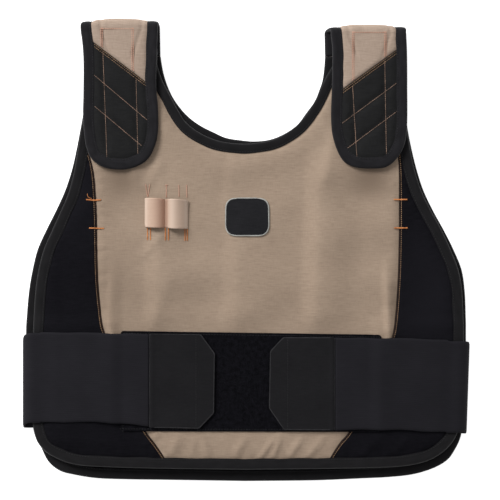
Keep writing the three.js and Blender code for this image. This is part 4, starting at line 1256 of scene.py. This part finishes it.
# Along the pen band: where, how wide and what colour its light and shade are
PEN_TONES = [
    (0.0030, 0.0038, (0.68, 0.54, 0.44)),
    (0.0260, 0.0075, (0.41, 0.235, 0.165)),
    (0.0400, 0.0050, (0.55, 0.42, 0.335)),
    (0.0570, 0.0030, (0.60, 0.47, 0.38)),
]
pen_elastic = ribbed("beige_pen_elastic", (0.39, 0.27, 0.198), (0.53, 0.395, 0.31),
                     pitch=0.0014, contrast=0.5, depth=0.00004, tones=PEN_TONES)
patch_cloth = woven("dark_patch_twill", (0.008, 0.0080, 0.0095), (0.017, 0.0168, 0.019), specular=0.12)
orange_thread = threaded("orange_thread", (0.42, 0.14, 0.04), (0.80, 0.32, 0.11))
seam_thread = threaded("seam_thread", (0.120, 0.072, 0.040), (0.56, 0.340, 0.185))
brown_thread = threaded("brown_thread", (0.040, 0.020, 0.012), (0.17, 0.085, 0.045))
quilting_thread = threaded("quilting_thread", (0.085, 0.054, 0.040), (0.50, 0.32, 0.23))
rose_thread = threaded("rose_thread", (0.46, 0.24, 0.17), (0.58, 0.35, 0.26))
grey_thread = threaded("grey_thread", (0.30, 0.30, 0.28), (0.48, 0.48, 0.45))
# Slightly lighter than the tab cloth: a painted highlight along the tabs' raised edges, laid as a row of
# thread.
tab_edge_highlight_thread = threaded("tab_edge_highlight_thread", (0.013, 0.0128, 0.0145), (0.034, 0.033, 0.036))
dark_thread = threaded("dark_thread", (0.006, 0.006, 0.007), (0.026, 0.025, 0.027))


def both(name):
    """The left and the right node of a pair."""
    return name + "_left", name + "_right"


# What each piece is made of: the record's slot, the finish and the nodes
MADE_OF = [
    ("canvas", canvas, ["back_panel", "front_panel_centre"]),
    ("canvas", strap_canvas, both("shoulder_strap")),
    ("side_cloth", side_cloth, both("front_panel_side")),
    ("quilted_cloth", quilted_cloth, both("strap_end")),
    ("binding_tape", binding_tape, ["back_edge_binding", "back_neck_binding"]),
    ("binding_tape", binding_tape, ["front_edge_binding", "front_neck_binding"]),
    ("binding_tape", strap_tape, both("strap_binding")),
    ("loop_pile", loop_pile, ["loop_field"]),
    ("elastic", elastic, both("belt")),
    ("tab_cloth", tab_cloth, both("belt_tab")),
    ("pen_elastic", pen_elastic, ["pen_loops"]),
    ("patch_cloth", patch_cloth, ["chest_patch"]),
]
made_of = {node: (slot, finish) for slot, finish, nodes in MADE_OF for node in nodes}
for node, piece in pieces.items():
    slot, finish = made_of[node]
    piece.data.materials.append(finish)
    if node == "back_panel":
        piece.data.materials.append(black_lining)
    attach(piece, "root")
    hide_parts(node)

padded = ["back_panel", "front_panel_centre"]
for pair in ("front_panel_side", "shoulder_strap", "strap_end"):
    padded += both(pair)


# Cut sizes of the cloth, in metres
def area_of(corners):
    p = np.array(corners)
    return float(abs((p[:, 0] * np.roll(p[:, 1], -1) - np.roll(p[:, 0], -1) * p[:, 1]).sum()) / 2)


def size_of(corners):
    return tuple(float(side) for side in np.ptp(np.array(corners), axis=0))


for node, chain, bound in (
    ("back_edge_binding", back_side, "back_panel"),
    ("back_neck_binding", back_neck, "back_panel"),
    ("front_edge_binding", front_side, "front_panel_centre"),
    ("front_neck_binding", front_neck, "front_panel_centre"),
    ("strap_binding_left", strap_edges["left"][0], "shoulder_strap_left"),
    ("strap_binding_right", strap_edges["right"][0], "shoulder_strap_right"),
):
    float(run_of(chain)[-1])
for name, corners in TABS.items():
    pieces["belt_tab_" + name]
    size_of(corners)
    area_of(corners)
size_of(FIELD)
area_of(FIELD)


# Stitches
def sewing_tree():
    """Geometry nodes that lay stitches along lines. Gives the tree and the names of its inputs."""
    tree = bpy.data.node_groups.new("sewing", "GeometryNodeTree")
    inputs = {}
    for name, kind in (("Lines", "Geometry"), ("Pitch", "Float"), ("Length", "Float"), ("Thread", "Float"),
                       ("Slant", "Float"), ("Finish", "Material")):
        socket = tree.interface.new_socket(name, in_out="INPUT", socket_type="NodeSocket" + kind)
        inputs[name] = socket.identifier
    tree.interface.new_socket("Stitches", in_out="OUTPUT", socket_type="NodeSocketGeometry")
    given = tree.nodes.new("NodeGroupInput").outputs

    def node(kind, settings, inputs, output=0):
        made = tree.nodes.new(kind)
        for name, value in settings.items():
            setattr(made, name, value)
        for name, value in inputs.items():
            if isinstance(value, bpy.types.NodeSocket):
                tree.links.new(value, made.inputs[name])
            else:
                made.inputs[name].default_value = value
        return made.outputs[output]

    def halved(socket):
        return node("ShaderNodeMath", {"operation": "MULTIPLY"}, {0: socket, 1: 0.5})

    line = node("GeometryNodeMeshToCurve", {}, {"Mesh": given["Lines"]})
    line = node("GeometryNodeResampleCurve", {"mode": "LENGTH"}, {"Curve": line, "Length": given["Pitch"]})
    bead = node("GeometryNodeMeshUVSphere", {}, {"Segments": 6, "Rings": 4, "Radius": 1.0})
    bead = node("GeometryNodeSetShadeSmooth", {}, {"Geometry": bead})
    ahead = node("GeometryNodeInputTangent", {}, {})
    turn = node("FunctionNodeAlignRotationToVector", {"axis": "X"}, {"Vector": ahead})
    slant = node("ShaderNodeCombineXYZ", {}, {"Z": given["Slant"]})
    slant = node("FunctionNodeEulerToRotation", {}, {"Euler": slant})
    turn = node("FunctionNodeRotateRotation", {"rotation_space": "LOCAL"}, {
        "Rotation": turn, "Rotate By": slant,
    })
    size = node("ShaderNodeCombineXYZ", {}, {
        "X": halved(given["Length"]), "Y": halved(given["Thread"]), "Z": halved(given["Thread"]),
    })
    rows = node("GeometryNodeInstanceOnPoints", {}, {
        "Points": line, "Instance": bead, "Rotation": turn, "Scale": size,
    })
    rows = node("GeometryNodeRealizeInstances", {}, {"Geometry": rows})
    rows = node("GeometryNodeSetMaterial", {}, {"Geometry": rows, "Material": given["Finish"]})
    tree.links.new(rows, tree.nodes.new("NodeGroupOutput").inputs["Stitches"])
    return tree, inputs


SEWING, SEWING_INPUTS = sewing_tree()
LONG_STEP, SHORT_STEP = 0.002, 0.001


def sew(name, lines, finish, pitch=0.0030, length=0.0024, thread=0.0006, slant=0.06):
    """Rows of stitches along lines of points in space."""
    points = np.vstack(lines)
    links = []
    first = 0
    for line in lines:
        links += [(i, i + 1) for i in range(first, first + len(line) - 1)]
        first += len(line)
    drawn = bpy.data.meshes.new(name + "_lines")
    drawn.from_pydata([tuple(p) for p in points], links, [])
    row = bpy.data.objects.new(name, drawn)
    bpy.context.scene.collection.objects.link(row)
    needle = row.modifiers.new("sewing", "NODES")
    needle.node_group = SEWING
    for label, value in (("Pitch", pitch), ("Length", length), ("Thread", thread), ("Slant", slant),
                         ("Finish", finish)):
        needle[SEWING_INPUTS[label]] = value
    done = bpy.context.evaluated_depsgraph_get()
    sewn = bpy.data.meshes.new_from_object(
        row.evaluated_get(done), preserve_all_data_layers=True, depsgraph=done
    )
    row.modifiers.remove(needle)
    row.data = sewn
    bpy.data.meshes.remove(drawn)
    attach(row, "root")
    return row


def on(surface, line, high=0.0001, spacing=LONG_STEP):
    """A flat line laid on a surface."""
    line = respaced(np.array(line, float), spacing)
    return np.column_stack([line, surface(line[:, 0], line[:, 1]) + high])


def bound_row(chain, place, width=BINDING_WIDTH, face=1):
    """The row that holds a tape, in the groove near its inner edge."""
    line = moved(chain, width - TAPE_GROOVE)
    return place(line[:, 0], line[:, 1], np.full(len(line), face * BINDING_ROW_HIGH))


sew("front_binding_stitches", [
    bound_row(front_side, on_front), bound_row(front_neck, on_front, NECK_TAPE_WIDTH),
], dark_thread)
sew("back_binding_stitches", [
    bound_row(chain, on_back, face=face) for face in (1, -1) for chain in (back_side, back_neck)
], dark_thread)
sew("strap_binding_stitches", [
    bound_row(edge, place) for edge, place, _ in strap_edges.values()
], dark_thread)

SEAM_ROW_ENDS = (-0.236, 0.125)
seam_rows = []
edge_rows = []
for seam, way in ((seam_left, 1), (seam_right, -1)):
    for rows, inward, high in ((seam_rows, 0.0021, 0.0001), (edge_rows, 0.0006, 0.0)):
        line = moved(seam, way * inward)
        line = line[(line[:, 1] > SEAM_ROW_ENDS[0]) & (line[:, 1] < SEAM_ROW_ENDS[1])]
        rows.append(on(side_top, line, high))
sew("side_seam_stitches", seam_rows, seam_thread, pitch=0.0023, length=0.0018, thread=0.0007)
sew("side_seam_edge_stitches", edge_rows, brown_thread, pitch=0.0027, length=0.0021, thread=0.0005)

quilting_rows = []
slant_rows = []
box_rows = []
for strap in STRAPS:
    name = strap["name"]
    _, place, along_at = strap_edges[name]
    quilting_rows += [on(flap_tops[name], line) for line in QUILTING[name]]
    inward = STRAP_WIDTH / 2 - BINDING_WIDTH - 0.0008
    for drop in (0.0014, 0.0042):
        line = [(strap["middle"] + a, slant_y(strap, a) - drop) for a in (-inward, inward)]
        slant_rows.append(on(flap_tops[name], line))
    uprights = [x - strap["middle"] for x in BOX_STITCH[name]]
    box_top = along_at(BOX_TOP_Y[name])
    for upright in uprights:
        for aside in (-0.0008, 0.0008):
            a = upright + aside
            run = np.linspace(box_top, along_at(slant_y(strap, a) + 0.0025), 40)
            box_rows.append(place(np.full(40, a), run, np.full(40, STRAP_PAD / 2)))
    box_rows.append(place(np.linspace(*uprights, 20), np.full(20, box_top), np.full(20, STRAP_PAD / 2)))
sew("quilting_stitches", quilting_rows, quilting_thread, pitch=0.0024, length=0.0027, thread=0.0006)
sew("strap_seam_stitches", slant_rows, seam_thread, pitch=0.0024, length=0.0022, thread=0.0006)
sew("strap_box_stitches", box_rows, rose_thread, pitch=0.0024, length=0.0026, thread=0.0011)

BARTACK_SLANT, EDGE_SLANT, TACK_SLANT = 1.35, 1.35, 0.5
bartack_rows = [on(side_top, line, 0.0002, SHORT_STEP) for line in BARTACKS]
sew("bartacks", bartack_rows, orange_thread,
    pitch=0.0006, length=0.0018, thread=0.0008, slant=BARTACK_SLANT)
loose_end = on(side_top, through(LOOSE_END, SHORT_STEP), 0.0005, SHORT_STEP)
sew("loose_thread_end", [loose_end], orange_thread, pitch=0.0008, length=0.0014, thread=0.0005, slant=0.1)
upper_tacks = []
lower_tacks = []
for line in PEN_TACKS:
    tacks = upper_tacks if line[0][1] > PEN["middle_y"] else lower_tacks
    tacks.append(on(front_top, line, 0.0002, SHORT_STEP))
sew("pen_upper_tacks", upper_tacks, rose_thread,
    pitch=0.0010, length=0.0014, thread=0.0010, slant=TACK_SLANT)
sew("pen_lower_tacks", lower_tacks, orange_thread,
    pitch=0.0010, length=0.0014, thread=0.0014, slant=TACK_SLANT)


def field_top(x, y):
    return front_level(x, y) + SEAM_GAP + FIELD_THICK


def tab_top(x, y):
    return front_level(x, y) + 2 * SEAM_GAP + FIELD_THICK + TAB_THICK


def patch_top(x, y):
    return front_level(x, y) + SEAM_GAP + PATCH_THICK


tab_rows = []
tab_edge_rows = []
for name, outline in tab_outlines.items():
    x, top, low = TAB_ROWS[name]
    tab_rows.append(on(tab_top, [(x, top), (x, low)], 0.0))
    tab_edge_rows.append(on(tab_top, moved(closed(outline), 0.0008), -0.0003, SHORT_STEP))
sew("tab_stitches", tab_rows, dark_thread, pitch=0.0028, length=0.0022, thread=0.0006)
# The lighter thread along each tab's edge is a painted highlight of its raised edge.
sew("tab_edge_stitches", tab_edge_rows, tab_edge_highlight_thread,
    pitch=0.0009, length=0.0018, thread=0.0009, slant=EDGE_SLANT)

field_rim = moved(closed(anticlockwise(polygon(FIELD, 0.003))), 0.0025)
sew("field_stitches", [on(field_top, field_rim, 0.0)], dark_thread)
patch_rim = on(patch_top, closed(patch_outline), -0.0004, SHORT_STEP)
sew("patch_edge_stitches", [patch_rim], grey_thread, pitch=0.0008, length=0.0022, thread=0.0010, slant=1.4)

# Camera, straight above at the photograph's angle
CAMERA_PLACE = (0.0044, 0.0011, 1.387)
CAMERA_LENS = 90
camera = bpy.data.objects.new("camera", bpy.data.cameras.new("camera"))
camera.location = CAMERA_PLACE
camera.data.lens = CAMERA_LENS
camera.data.sensor_width = 36
camera.data.clip_start = 0.01
bpy.context.scene.collection.objects.link(camera)
bpy.context.scene.camera = camera

# Floor and soft studio light from the upper left
FLOOR_HALF = 8
FLOOR_Z = -0.0002
FLOOR_GLOW = 0.75
KEY_PLACE = (-3.2, 3.4, 3.3)
KEY_SIZE = 2.6
KEY_POWER = 345
STUDIO_GLOW = 0.5

floor_corners = [(a * FLOOR_HALF, b * FLOOR_HALF, FLOOR_Z) for a, b in ((-1, -1), (1, -1), (1, 1), (-1, 1))]
floor_mesh = bpy.data.meshes.new("floor")
floor_mesh.from_pydata(floor_corners, [], [(0, 1, 2, 3)])
floor = bpy.data.objects.new("floor", floor_mesh)
bpy.context.scene.collection.objects.link(floor)
floor_paper = bpy.data.materials.new("floor_paper")
floor_paper.use_nodes = True
paper = floor_paper.node_tree.nodes["Principled BSDF"].inputs
paper["Base Color"].default_value = (0.9, 0.9, 0.9, 1)
paper["Roughness"].default_value = 0.9
paper["Specular IOR Level"].default_value = 0.1
paper["Emission Color"].default_value = (1, 1, 1, 1)
paper["Emission Strength"].default_value = FLOOR_GLOW
floor.data.materials.append(floor_paper)

light = bpy.data.lights.new("key", "AREA")
light.shape = "DISK"
light.size = KEY_SIZE
light.energy = KEY_POWER
lamp = bpy.data.objects.new("key", light)
lamp.location = KEY_PLACE
lamp.rotation_mode = "QUATERNION"
lamp.rotation_quaternion = (-Vector(KEY_PLACE)).to_track_quat("-Z", "Y")
bpy.context.scene.collection.objects.link(lamp)

world = bpy.data.worlds.new("studio")
bpy.context.scene.world = world
world.use_nodes = True
backdrop = world.node_tree.nodes["Background"].inputs
backdrop["Color"].default_value = (1, 1, 1, 1)
backdrop["Strength"].default_value = STUDIO_GLOW
bpy.context.scene.view_settings.view_transform = "Standard"
